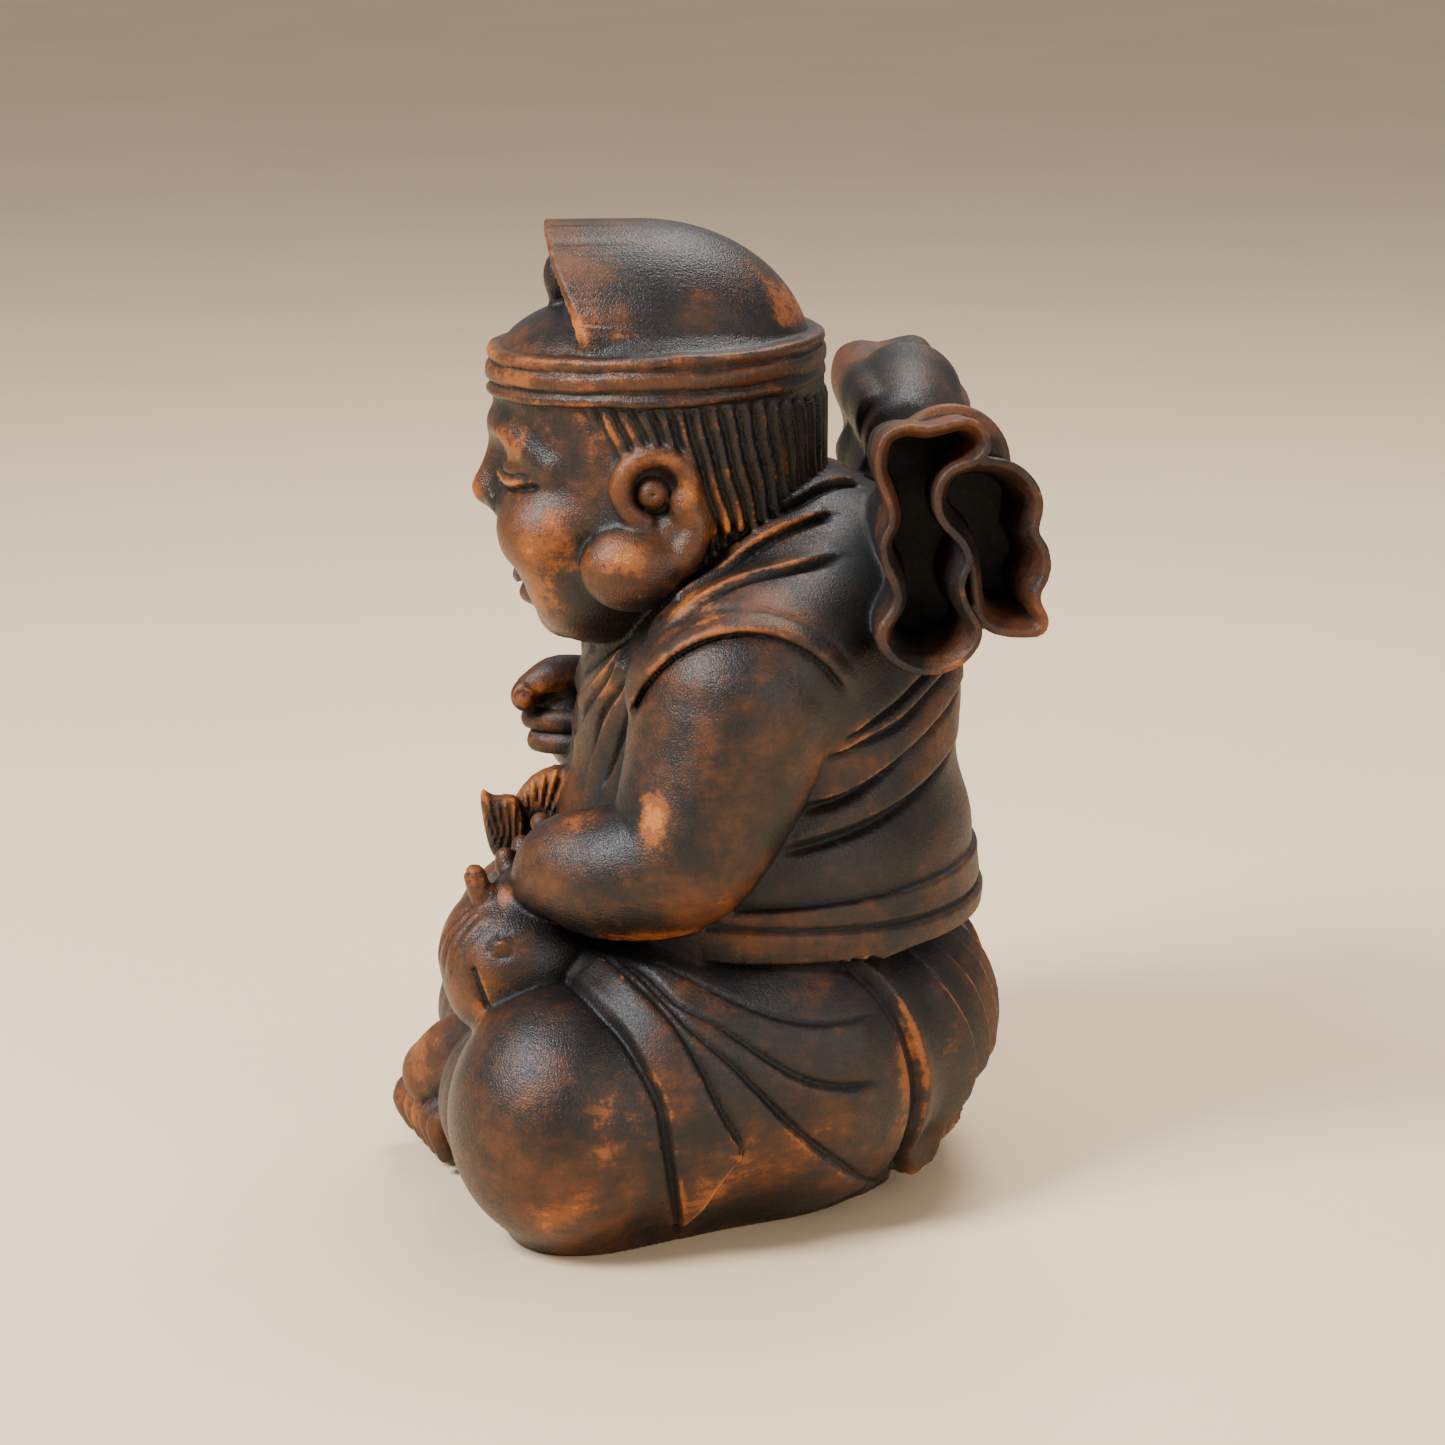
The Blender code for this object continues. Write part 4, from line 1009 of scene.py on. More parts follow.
@dataclass
class Cap:
    """The folded cap with its raised crest and a band of three strands."""

    half_width: float = 46.0
    length: float = 62.0
    rise: float = 50.0
    middle: float = -24.0
    rim: float = 3.6
    recess: float = 6.5
    front: float = -63.3
    bow: float = 15.0
    tilt: float = 0.045
    band_out: float = 3.2
    band_radius: float = 58.0
    band_depth: float = 12.0
    band_edge: float = 1.7
    backing: float = 8.2
    strand: float = 7.2
    strands: Sequence[tuple[float, float, float]] = ((-0.92, 0.31, 0.2), (0.0, 0.45, 0.5), (0.9, 0.31, -0.1))

    def carve(self, wood: Wood, head: Head) -> None:
        """Adds the cap, its crest, the curl on its front and its band.

        Args:
            wood: The wood of the head alone.
            head: The head that it sits on.
        """
        level = head.top
        wide = self.half_width
        wood.add(Ball((0, self.middle, level), (head.half_width - 1, head.half_depth - 2.5, 25)))

        def crest(x: Array, y: Array, z: Array) -> Array:
            """Gives the distance from the raised crest, which is hollow at its front.

            Args:
                x: Places along X.
                y: Places along Y.
                z: Places along Z.

            Returns:
                The distance at each place, below zero inside.
            """
            back = np.maximum(y + 30, 0.0)
            up = z - level
            k0 = np.sqrt((x / wide) ** 2 + (back / self.length) ** 2 + (up / self.rise) ** 2)
            k1 = np.sqrt((x / wide**2) ** 2 + (back / self.length**2) ** 2 + (up / self.rise**2) ** 2)
            body = k0 * (k0 - 1) / np.maximum(k1, LEAST_SLOPE)
            front = self.front + self.bow * (np.abs(x) / wide) ** 4
            body = np.maximum(body, front - y)
            body = np.maximum(body, level - 8 - z)
            hollow = np.maximum((k0 - 1) * 44 + self.rim, (y - front) - self.recess)
            return -smooth_min(-body, hollow, 1.0)

        wood.add(Shaped(crest, (-wide, -64, level - 8), (wide, self.length - 30, level + self.rise)), 1.6)
        wood.add(Ball((0, -58.5, level + 30), (7, 5.5, 9)), 1)
        wood.add(Limb([(0, -58, level + 30, 3), (0, -59, level + 16, 3.5)]), 2)
        wood.cut(Limb([(4, -63.5, level + 31, 0.8), (0, -64.5, level + 36, 0.9), (-4, -63.5, level + 31, 0.9),
                       (-1, -64.5, level + 26, 0.8), (2, -64.5, level + 29, 0.7)], 16), 0.6)
        self.tie_band(wood, head)

    def tie_band(self, wood: Wood, head: Head) -> None:
        """Adds the strands of the band.

        Args:
            wood: The wood to work on.
            head: The head that it sits on.
        """
        wide = head.half_width + self.band_out
        deep = head.half_depth + self.band_out - 2

        def band(x: Array, y: Array, z: Array) -> Array:
            """Gives the distance from the strands and the ring behind them.

            Args:
                x: Places along X.
                y: Places along Y.
                z: Places along Z.

            Returns:
                The distance at each place, below zero inside.
            """
            tilt = self.tilt * (y - self.middle)
            turn = np.arctan2(x, y - self.middle)
            ring = np.sqrt((x / wide) ** 2 + ((y - self.middle) / deep) ** 2)
            out = (ring - 1) * self.band_radius
            best = None
            for n, (place, half, proud) in enumerate(self.strands):
                wander = 0.35 * np.sin(3 * turn + 1 + n) + 0.25 * np.sin(7 * turn + 2 * n)
                wander = wander + 0.15 * np.sin(17 * turn + n)
                swell = 0.3 * np.sin(5 * turn + 3 * n) + 0.2 * np.sin(13 * turn)
                middle = head.top + place * self.strand + tilt + wander
                flat = np.maximum(np.abs(z - middle) - (half * self.strand - 1.9), 0)
                proudest = np.maximum(out - proud - swell * 0.5 + self.band_edge, 0)
                strand = np.hypot(flat, proudest) - self.band_edge
                strand = np.maximum(strand, -out - self.band_depth)
                best = strand if best is None else np.minimum(best, strand)
            behind = np.maximum(out + 1.5, -out - self.band_depth)
            behind = np.maximum(np.abs(z - head.top - tilt) - self.backing, behind)
            return np.minimum(best, behind)

        low = (-wide - 2, -26 - deep, head.top - 14)
        high = (wide + 2, deep - 22, head.top + 16)
        wood.add(Shaped(band, low, high), 0.4)


@dataclass
class Bundle:
    """A tied cloth bag behind each shoulder that opens sideways in two scalloped mouths."""

    front_mouth: Sequence[Flat] = (
        (45, 279), (46.9, 286.5), (51.3, 290), (57, 291.3), (63.3, 290.4), (71.3, 292.3), (77, 293),
        (81.7, 291), (84.8, 286), (84.3, 280.4), (78, 274.5), (74, 266), (74, 258.6), (78.3, 252.9),
        (80.4, 246.7), (78.5, 240.6), (76.6, 234.5), (78.7, 227.4), (82.7, 220.7), (82.1, 214.1),
        (77, 207.6), (70, 204.2), (62.8, 203.4), (55.4, 205.7), (49.7, 210.4), (46.7, 216.4),
        (47.6, 221.5), (51.8, 228.2), (51.9, 233.6), (49.4, 239.4), (47.2, 246), (47.3, 251.2),
        (49.8, 256.5), (49.8, 260.6), (48.2, 266), (45.7, 272),
    )
    back_mouth: Sequence[Flat] = (
        (65.9, 261), (66.2, 269.2), (69.7, 274.8), (75.3, 277.8), (82.6, 278.7), (90.7, 277.7),
        (97.2, 274.3), (102.2, 268.3), (104, 261.7), (103.2, 256), (102.7, 252), (105.8, 247),
        (107.05, 240.8), (106.1, 235), (103.7, 230.5), (104.1, 226.8), (106.5, 222), (106.2, 218),
        (103, 215.2), (94.2, 215.1), (86.9, 216.7), (81.5, 221), (79, 230), (78, 240.3), (74.8, 249),
        (69.5, 254.4),
    )
    core: Sequence[tuple[float, float, float]] = ((74, 272, 22), (72, 250, 24))
    reach: float = 94.0
    back_step: float = 5.0
    start: float = 30.0
    knot_start: float = 20.0
    knot_short: float = 26.0
    knot_edge: float = 3.0
    wall: float = 3.6
    front_lip: float = 0.62
    back_lip: float = 0.75
    hollow: float = 34.0

    def carve(self, wood: Wood) -> None:
        """Adds both bags, then hollows their mouths.

        Args:
            wood: The wood to work on.
        """
        wood.add(Ball((0, 66, 226), (42, 20, 20)), 10)
        for side in Side:
            self.carve_side(wood, side)

    def carve_side(self, wood: Wood, side: Side) -> None:
        """Adds the bag on one side.

        Args:
            wood: The wood to add it to.
            side: The side that it opens to.
        """
        far = 0 if side is Side.LEFT else 1
        wood.add(self.knot(side, far), 4)
        back_line = closed_curve([(u - 2 * far, v + 4 * far) for u, v in self.back_mouth], 2)
        front_line = closed_curve([(u + 3 * far, v + far) for u, v in self.front_mouth], 2)
        back_skin = self.flare(back_line, side, (78, 244), self.start, self.reach - self.back_step, 0.62)
        front_skin = self.flare(front_line, side, (63, 246), self.start, self.reach, 0.74)
        back = self.body(back_skin, back_line, side, self.start, self.reach - self.back_step)
        front = self.body(front_skin, front_line, side, self.start, self.reach)
        wood.add(back, 2)
        wood.add(front, 1)

        def front_hollow(x: Array, y: Array, z: Array) -> Array:
            """Gives the distance from the hollow of the front mouth.

            Args:
                x: Places along X.
                y: Places along Y.
                z: Places along Z.

            Returns:
                The distance at each place, below zero inside.
            """
            depth = self.reach - side.value * x
            inside = front_skin(x, y, z) + self.wall_at(depth, self.front_lip)
            return np.maximum(np.maximum(inside, depth - self.hollow), -back_skin(x, y, z) + 0.4)

        def back_hollow(x: Array, y: Array, z: Array) -> Array:
            """Gives the distance from the hollow of the back mouth.

            Args:
                x: Places along X.
                y: Places along Y.
                z: Places along Z.

            Returns:
                The distance at each place, below zero inside.
            """
            depth = self.reach - self.back_step - side.value * x
            inside = back_skin(x, y, z) + self.wall_at(depth, self.back_lip)
            return np.maximum(inside, depth - self.hollow + 2)

        grow = np.array([4.0, 0, 0])
        wood.cut(Shaped(front_hollow, np.asarray(front.low) - grow, np.asarray(front.high) + grow), 0.9)
        wood.cut(Shaped(back_hollow, np.asarray(back.low) - grow, np.asarray(back.high) + grow), 0.9)

    def wall_at(self, depth: Array, lip: float) -> Array:
        """Gives the wall's thickness, which is thin at the lip and grows inwards."""
        return self.wall * (lip + 0.6 * np.clip(depth / 6, 0, 1) + 0.3 * depth / self.hollow)

    def knot(self, side: Side, far: int) -> Form:
        """Gives the round part of the bag behind the mouths.

        Args:
            side: The side that it is on.
            far: One on the right, where the bag sits a little differently, or else zero.

        Returns:
            The form.
        """
        rings = np.asarray(self.core, float) + far * np.array([0, 2, 0])
        first, last = self.knot_start, self.reach - self.knot_short

        def skin(x: Array, y: Array, z: Array) -> Array:
            """Gives the distance from the round part, which narrows towards the middle.

            Args:
                x: Places along X.
                y: Places along Y.
                z: Places along Z.

            Returns:
                The distance at each place, below zero inside.
            """
            share = np.clip((side.value * x - first) / (last - first), 0, 1)
            grow = 0.6 + 0.4 * share**0.6
            best = None
            for u, v, r in rings:
                d = np.hypot((y - 58) / grow + 58 - u, (z - 245) / grow + 245 - v) - r
                best = d if best is None else smooth_min(best, d, 3.0)
            ends = np.maximum(first - side.value * x, side.value * x - last)
            return rounded(best * grow + self.knot_edge, ends + self.knot_edge, self.knot_edge)

        ends = sorted((side.value * first, side.value * last))
        return Shaped(skin, (ends[0], 44, 222), (ends[1], 98, 300))

    @staticmethod
    def flare(line: Array, side: Side, root: Flat, start: float, reach: float, narrow: float) -> Change:
        """Gives the outer skin that widens from a root towards a mouth.

        Args:
            line: The mouth's outline.
            side: The side that it opens to.
            root: The place, back and up, that it narrows towards.
            start: Where it starts from the middle.
            reach: Where the mouth is from the middle.
            narrow: Its size at the start as a share of the mouth.

        Returns:
            The distance from the skin.
        """

        def skin(x: Array, y: Array, z: Array) -> Array:
            """Gives the distance from the outer skin.

            Args:
                x: Places along X.
                y: Places along Y.
                z: Places along Z.

            Returns:
                The distance at each place, below zero inside.
            """
            t = np.clip((side.value * x - start) / (reach - start), 0, 1)
            grow = narrow + (1 - narrow) * t**0.6
            u = root[0] + (y - root[0]) / grow
            v = root[1] + (z - root[1]) / grow
            return outline_distance(u, v, line) * grow

        return skin

    @staticmethod
    def body(skin: Change, line: Array, side: Side, start: float, reach: float) -> Shaped:
        """Closes a skin between its start and its mouth.

        Args:
            skin: The distance from the outer skin.
            line: The mouth's outline.
            side: The side that it is on.
            start: Where it starts from the middle.
            reach: Where its mouth is from the middle.

        Returns:
            The form.
        """

        def solid(x: Array, y: Array, z: Array) -> Array:
            """Gives the distance from the closed skin, with its edges rounded.

            Args:
                x: Places along X.
                y: Places along Y.
                z: Places along Z.

            Returns:
                The distance at each place, below zero inside.
            """
            edge = 1.2
            ends = np.maximum(start - side.value * x, side.value * x - reach)
            return rounded(skin(x, y, z) + edge, ends + edge, edge)

        first, last = line.min(0) - 3, line.max(0) + 3
        ends = sorted((side.value * start, side.value * reach))
        return Shaped(solid, (ends[0], *first), (ends[1], *last))


@dataclass
class Arms:
    """Both bare arms, and the sleeveless edge of the robe round them."""

    left: Sequence[Knot] = (
        (70, 0, 190, 37), (77, -9, 162, 32), (82, -22, 138, 27), (78, -44, 131, 23.5),
        (71, -58, 131, 19.5), (64, -66, 123.5, 13.5),
    )
    right: Sequence[Knot] = (
        (-70, 0, 190, 37), (-80, -4, 162, 32), (-86, -14, 140, 27), (-78, -34, 140, 23),
        (-60, -48, 152, 18), (-47, -54, 162, 13),
    )
    hole: float = 38.5
    hole_middle: Flat = (1.0, 181.0)
    hole_sharp: float = 0.55
    step: float = 2.3
    roll: float = 0.9
    groove: float = 0.8
    notch: float = 1.8

    def carve(self, wood: Wood) -> None:
        """Adds the arms and raises the robe's edge round each shoulder.

        Args:
            wood: The wood to work on.
        """
        wood.add(Limb(self.left, 22), 1.0)
        wood.add(Limb(self.right, 22), 1.0)

        def edge(x: Array, y: Array, z: Array) -> Array:
            """Raises the cloth round the armhole and cuts the line beside it.

            Args:
                x: Places along X.
                y: Places along Y.
                z: Places along Z.

            Returns:
                How far the surface is lowered, below zero where it is raised.
            """
            back, up = y - self.hole_middle[0], z - self.hole_middle[1]
            ring = np.hypot(back, up)
            turn = np.arctan2(up, back)
            cloth = np.clip((turn - 0.30) / 0.30, 0, 1) * np.clip((3.02 - turn) / 0.22, 0, 1)
            rise = rise_above((ring - self.hole) / self.hole_sharp)
            roll = self.roll * ridge((ring - self.hole - 3.0) / 2.2)
            groove = self.groove * ridge((ring - self.hole - 6.6) / 1.1)
            notch = self.notch * ridge((ring - self.hole + 0.6) / 0.9)
            side = np.clip((np.abs(x) - 52) / 16, 0, 1)
            rise = -self.step * rise * np.exp(-np.maximum(ring - 41, 0) / 20)
            return (rise - roll + groove + notch) * cloth * side

        wood.shift((50, -60, 130), (125, 60, 240), edge)
        wood.shift((-125, -60, 130), (-50, 60, 240), edge)


@dataclass
class Hands:
    """The open left hand on the fish and the closed right one."""

    finger: float = 4.4

    def carve(self, wood: Wood) -> None:
        """Adds both hands."""
        self.open_hand(wood)
        self.fist(wood)

    def open_hand(self, wood: Wood) -> None:
        """Adds the palm, thumb and fingers that hold the fish.

        Args:
            wood: The wood to work on.
        """
        r = self.finger
        wood.add(Ball((58, -76.5, 118), (10.5, 9.5, 10)), 3)
        wood.add(Ball((64, -77.5, 112), (8.5, 9.0, 9.0)), 2)
        thumb = [(60, -80, 113.5, r + 1.6), (62, -88.0, 118.5, r + 1.0), (62, -92.0, 126.5, r - 0.4)]
        wood.add(Limb(thumb, 8), 1)
        wood.add(Limb([(51, -76, 122, r + 0.3), (49, -80, 125, r), (48, -81, 129, r - 0.8)], 6), 0.8)
        wood.add(Limb([(46, -70, 124, r + 0.3), (44, -74, 128, r), (43, -75, 132, r - 0.8)], 6), 0.8)
        wood.add(Limb([(42, -60, 125, r + 0.3), (40, -65, 133, r), (39, -68, 139, r - 0.6)], 6), 0.8)
        wood.score([(66, -89, 118), (64, -87, 125), (54, -84, 128)], Chisel(1.0, 1.2, 0.0, 4.0), 1)
        wood.score([(65, -92, 124), (62, -94, 127), (57, -91, 126)], Chisel(0.8, 0.8, 0.0, 3.0), 1)

    def fist(self, wood: Wood) -> None:
        """Adds the raised fist, thumb on top.

        Args:
            wood: The wood to work on.
        """
        r = self.finger
        wood.add(Ball((-41, -58, 162), (12, 12, 17)), 3)
        thumb = [(-39, -46, 174, r + 3.4), (-33, -60, 176.5, r + 2.6), (-31, -69, 171.5, r + 2)]
        wood.add(Limb(thumb, 8), 1.0)
        wood.add(Ball((-28.5, -72, 169.5), (5.2, 5.2, 6.0)), 1.0)
        for n in range(2):
            z = 159.5 - 8.8 * n
            y = -68.5 + 2.2 * n
            finger = [(-42, y + 1, z, r + 0.4), (-34, y, z, r), (-29, y + 10, z, r), (-29, y + 20, z, r)]
            wood.add(Limb(finger, 8), 0.5)
        wood.cut(Ball((-26, -60, 168.5), (5, 7, 3.2)), 1.0)
        wood.score([(-26, -72, 176), (-24, -67, 173), (-25, -66, 167)], Chisel(0.9, 1.1, 0.0, 3.0), 1)
        wood.score([(-24, -76, 170), (-23.5, -73, 173), (-24, -70, 170)], Chisel(0.7, 1.3, 0.5, 2.5), 1)
        wood.score([(-24, -75, 166), (-23.5, -72, 164.5), (-24, -69, 166)], Chisel(0.7, 1.1, 0.4, 2.5), 1)


@dataclass
class Fish:
    """The fish across the lap, head out at the left and tail up in front of the chest."""

    head: float = 27.0
    tail_thickness: float = 12.0
    front_turns: float = 74.0
    front_depth: float = 0.75
    back_turns: float = 48.0
    back_depth: float = 0.95
    front_lobe: Sequence[Flat] = (
        (-89, 143), (-84, 141), (-77, 141), (-74, 134), (-74, 125), (-79, 120), (-85, 120), (-88, 131),
    )
    back_lobe: Sequence[Flat] = (
        (-77, 135), (-73, 143), (-67, 148), (-59, 150), (-55, 146), (-58, 137), (-66, 125), (-74, 121),
    )
    mouth: Sequence[Point] = ((80, -93, 99), (80, -91, 94), (81, -89, 88), (81, -87, 82))
    eye: Point = (81.5, -82.5, 106)
    brow: Sequence[Point] = ((81, -87, 103.5), (80.5, -85.5, 106.5), (80, -82.5, 109), (79, -79, 110))
    under_eye: Sequence[Point] = ((82, -86, 104), (82.5, -82.5, 102.4), (82, -79, 104))
    arc: Sequence[Point] = ((74, -99, 94), (75, -98, 100), (75, -95, 105), (75, -91, 110), (74, -87, 113))
    stripes: Sequence[Sequence[Point]] = (
        ((60, -105, 92), (60, -105, 99), (62, -102, 106), (63, -97, 112), (64, -92, 116)),
        ((66, -104, 91), (67, -103, 99), (67, -100, 106), (67, -96, 111), (66, -92, 115)),
        ((72, -101, 92), (72, -100, 99), (71, -97, 106), (70, -93, 112), (69, -90, 114)),
    )

    def carve(self, wood: Wood) -> None:
        """Adds the fish and cuts its face and tail.

        Args:
            wood: The wood to work on.
        """
        r = self.head
        wood.add(Ball((58, -78, 95), (r, r, r - 2)))
        wood.add(Ball((62, -85, 82), (18, 15, 13)), 8)
        body = [(50, -78, 98, r - 4), (30, -73, 102, r - 7), (12, -69, 112, 13), (4, -67, 124, 8)]
        wood.add(Limb(body, 12), 8)
        wood.score(self.mouth, Chisel(1.5, 3.2, 0.8, 4.0, 0.6, 0.1), 1)
        wood.add(Ball(self.eye, (1.6, 3.6, 2.4)), 0.4)
        wood.score(self.brow, Chisel(0.85, 1.5, 0.8, 2.5, 0.4, 0.1), -1)
        wood.score(self.under_eye, Chisel(0.8, 1.1, 0.0, 2.5, 0.4, 0.15), 1)
        wood.score(self.arc, Chisel(0.9, 0.9, 0.7, 4.0, 0.6, 0.15), 1)
        for line in self.stripes:
            wood.score(line, Chisel(0.9, 1.0, 0.4, 3.0, 0.6, 0.15), 1)
        half = self.tail_thickness / 2
        wood.add(Plate(self.front_lobe, 10 - half, 10 + half, Across.X, 2.5), 2)
        wood.add(Plate(self.back_lobe, 1 - half, 3 + half, Across.X, 3), 2)

    def carve_rays(self, wood: Wood) -> None:
        """Cuts the rays of the tail.

        Args:
            wood: The wood to work on.
        """

        def front_rays(x: Array, y: Array, z: Array) -> Array:
            """Cuts the rays of the front lobe.

            Args:
                x: Places along X.
                y: Places along Y.
                z: Places along Z.

            Returns:
                How far the surface is lowered, below zero where it is raised.
            """
            rays = 1.0 - np.cos(np.arctan2(y + 77, z - 104) * self.front_turns)
            near = np.clip((np.abs(x - 10) - 3.2) / 1.5, 0, 1) * np.clip((z - 121) / 3, 0, 1)
            return rays * self.front_depth * near * np.clip((-76 - y + 1.5) / 1.5, 0, 1)

        def back_rays(x: Array, y: Array, z: Array) -> Array:
            """Cuts the rays of the back lobe.

            Args:
                x: Places along X.
                y: Places along Y.
                z: Places along Z.

            Returns:
                How far the surface is lowered, below zero where it is raised.
            """
            rays = 1.0 - np.cos(np.arctan2(y + 70, z - 118) * self.back_turns)
            near = np.clip((np.abs(x - 2) - 3.2) / 1.5, 0, 1) * np.clip((z - 125) / 4, 0, 1)
            return rays * self.back_depth * near * np.clip((y + 76) / 1.5, 0, 1)

        wood.shift((2, -92, 118), (18, -72, 146), front_rays)
        wood.shift((-8, -77, 122), (12, -50, 153), back_rays)


@dataclass
class Foot:
    """The bare foot that shows in front of the lap."""

    length: float = 60.87
    toe: float = 5.2

    def carve(self, wood: Wood) -> None:
        """Adds the foot and its toes.

        Args:
            wood: The wood to work on.
        """
        tip = -62 - self.length + 6
        wood.add(Limb([(30, -62, 48, 19), (12, tip + 25, 43, 17.5), (1, tip + 11, 33, 14)], 10), 3)
        for n in range(5):
            r = self.toe + 1.6 if n == 0 else self.toe + 0.3 - 0.2 * n
            x = -12 + 9.2 * n - 0.6 * max(n - 1, 0)
            y = tip + 2.6 * n
            wood.add(Limb([(x + 1, y + 9, 27, r), (x, y, 20, r), (x, y + 3, r + 4, r * 0.85)], 8), 0.5)


@dataclass(frozen=True)
class Rub:
    """A place where hands or knocks have taken the stain off; below zero, a place of thick stain, and at the
    floors of the bags' mouths a place of painted shade.
    """

    centre: Point
    radii: Point
    strength: float = 1.0


@dataclass
class Wear:
    """Where the stain is worn, creased or dusty, and where shade is painted, kept as values on the mesh
    points.
    """

    rubs: Sequence[Rub] = (
        Rub((18, 22, 322), (24, 9, 13), 1.2),
        Rub((42, -42, 316), (12, 24, 9), 0.75),
        Rub((40, -44, 334), (12, 12, 8), 0.35),
        Rub((0, -24, 300), (62, 68, 8), 1.15),
        Rub((44, -57, 281), (18, 18, 12), 0.85),
        Rub((24, -77, 274), (20, 10, 8), 1.0),
        Rub((0, -87, 254), (9, 6, 7), 1.2),
        Rub((26, -77, 259), (14, 8, 5), 0.7),
        Rub((44, -64, 240), (16, 14, 22), 0.75),
        Rub((36, -68, 224), (18, 14, 16), 1.05),
        Rub((64, -42, 240), (10, 13, 10), 1.0),
        Rub((60, -30, 228), (10, 12, 8), 0.7),
        Rub((58, -27, 273), (8, 16, 6), 0.9),
        Rub((58, -15, 262), (8, 5, 14), 0.8),
        Rub((104, -30, 158), (12, 9, 17), 1.75),
        Rub((106, -20, 156), (30, 17, 32), -0.7),
        # These two paint shade on the floors of the bags' mouths; the one after keeps the stain thick over
        # the bags.
        Rub((57, 63, 246), (9, 30, 56), -1.6),
        Rub((54, 92, 246), (9, 24, 50), -1.6),
        Rub((86, 64, 246), (16, 34, 60), -0.5),
        Rub((107, -14, 172), (12, 12, 16), 0.85),
        Rub((106, -8, 150), (14, 16, 22), 0.55),
        Rub((104, -6, 130), (14, 18, 12), 0.75),
        Rub((97, -30, 112), (16, 22, 6), 1.1),
        Rub((68, -81, 118), (8, 4, 7), 0.95),
        Rub((84, -54, 151), (9, 12, 6), 0.9),
        Rub((61, -92, 123), (7, 6, 8), 0.8),
        Rub((-30, -66, 172), (12, 14, 8), 1.0),
        Rub((-34, -68, 158), (12, 8, 10), 0.85),
        Rub((81, -91, 82), (8, 5, 9), 0.9),
        Rub((133, -45, 56), (16, 24, 24), 0.75),
        Rub((131, -62, 22), (18, 26, 14), 0.75),
        Rub((110, 22, 36), (18, 26, 24), 0.6),
        Rub((88, 58, 58), (12, 8, 30), 1.05),
        Rub((70, 76, 62), (12, 8, 30), 0.8),
        Rub((80, -16, 224), (22, 24, 14), 0.85),
        Rub((56, 6, 246), (22, 24, 10), 0.7),
        Rub((78, 44, 172), (20, 24, 22), 0.35),
        Rub((2, -68, 141), (16, 26, 12), 1.0),
        Rub((4, -108, 44), (22, 14, 16), 0.85),
        Rub((0, -116, 18), (30, 10, 10), 0.85),
        Rub((114, -12, 34), (12, 20, 24), 0.85),
        Rub((50, -42, 190), (24, 12, 30), 0.6),
        Rub((40, 70, 190), (60, 20, 40), 0.4),
    )
    mirrored_share: float = 0.8
    one_sided: float = 5.0
    falloff: float = 0.9
    blurs: Sequence[tuple[str, float, float]] = (("edge", 1.5, 4.0), ("form", 3.2, 4.0), ("broad", 8.0, 6.0))

    def write(self, mesh: bpy.types.Mesh, points: Array, wood: Wood, arms: Arms) -> None:
        """Writes one value a point for each kind of wear.

        Args:
            mesh: The mesh that keeps them.
            points: The mesh points in the carving's units.
            wood: The finished wood.
            arms: The arms, which are skin and not cloth.
        """
        for name, reach, limit in self.blurs:
            values = wood.softened(reach, limit).reading(points)
            self.keep(mesh, name, values)
            LOG.info("wear %s: %.2f to %.2f", name, *np.percentile(values, (2, 98)))
        self.keep(mesh, "rubbed_and_painted_shade", self.rubbed_and_painted_shade(points))
        self.keep(mesh, "cloth", self.cloth(points, arms))

    def rubbed_and_painted_shade(self, points: Array) -> Array:
        """Adds up the worn places, the thick stain and the painted shade in the bags' mouths, which the right
        side has more weakly.

        Args:
            points: Places, one a row.

        Returns:
            How strongly each is worn, below zero for thick stain and for painted shade.
        """
        taken = np.zeros(len(points))
        # Below zero the stain stays thick, and on the floors of the bags' mouths shade is painted.
        kept = np.zeros(len(points))
        for rub in self.rubs:
            for side in Side:
                if side is Side.RIGHT and rub.centre[0] < self.one_sided:
                    continue
                share = 1.0 if side is Side.LEFT else self.mirrored_share
                away = (points - np.array(flipped([rub.centre], side)[0])) / np.array(rub.radii)
                change = rub.strength * share * np.exp(-self.falloff * (away**2).sum(1))
                taken, kept = np.maximum(taken, change), np.minimum(kept, change)
        return taken + kept

    @staticmethod
    def cloth(points: Array, arms: Arms) -> Array:
        """Tells cloth from skin and cap.

        Args:
            points: Places, one a row.
            arms: Both arms.

        Returns:
            One on cloth, zero on skin, hair and cap.
        """
        x, y, z = points[:, 0], points[:, 1], points[:, 2]
        arm = np.minimum(Limb(arms.left, 22).distance(x, y, z), Limb(arms.right, 22).distance(x, y, z))
        head = np.maximum(Ball((0, -24, 262), (76, 68, 94)).distance(x, y, z), y - 40)
        knee = Ball((92, -62, 47), (44, 44, 49)).distance(np.abs(x), y, z)
        fish = Ball((45, -84, 96), (48, 34, 40)).distance(x, y, z)
        skin = np.minimum(np.minimum(arm - 0.5, head), np.minimum(knee, fish))
        return np.clip(0.5 + skin / 2.0, 0, 1)

    @staticmethod
    def keep(mesh: bpy.types.Mesh, name: str, values: Array) -> None:
        """Stores one value a mesh point under a name."""
        layer = mesh.attributes.new(name, "FLOAT", "POINT")
        layer.data.foreach_set("value", np.asarray(values, np.float32))


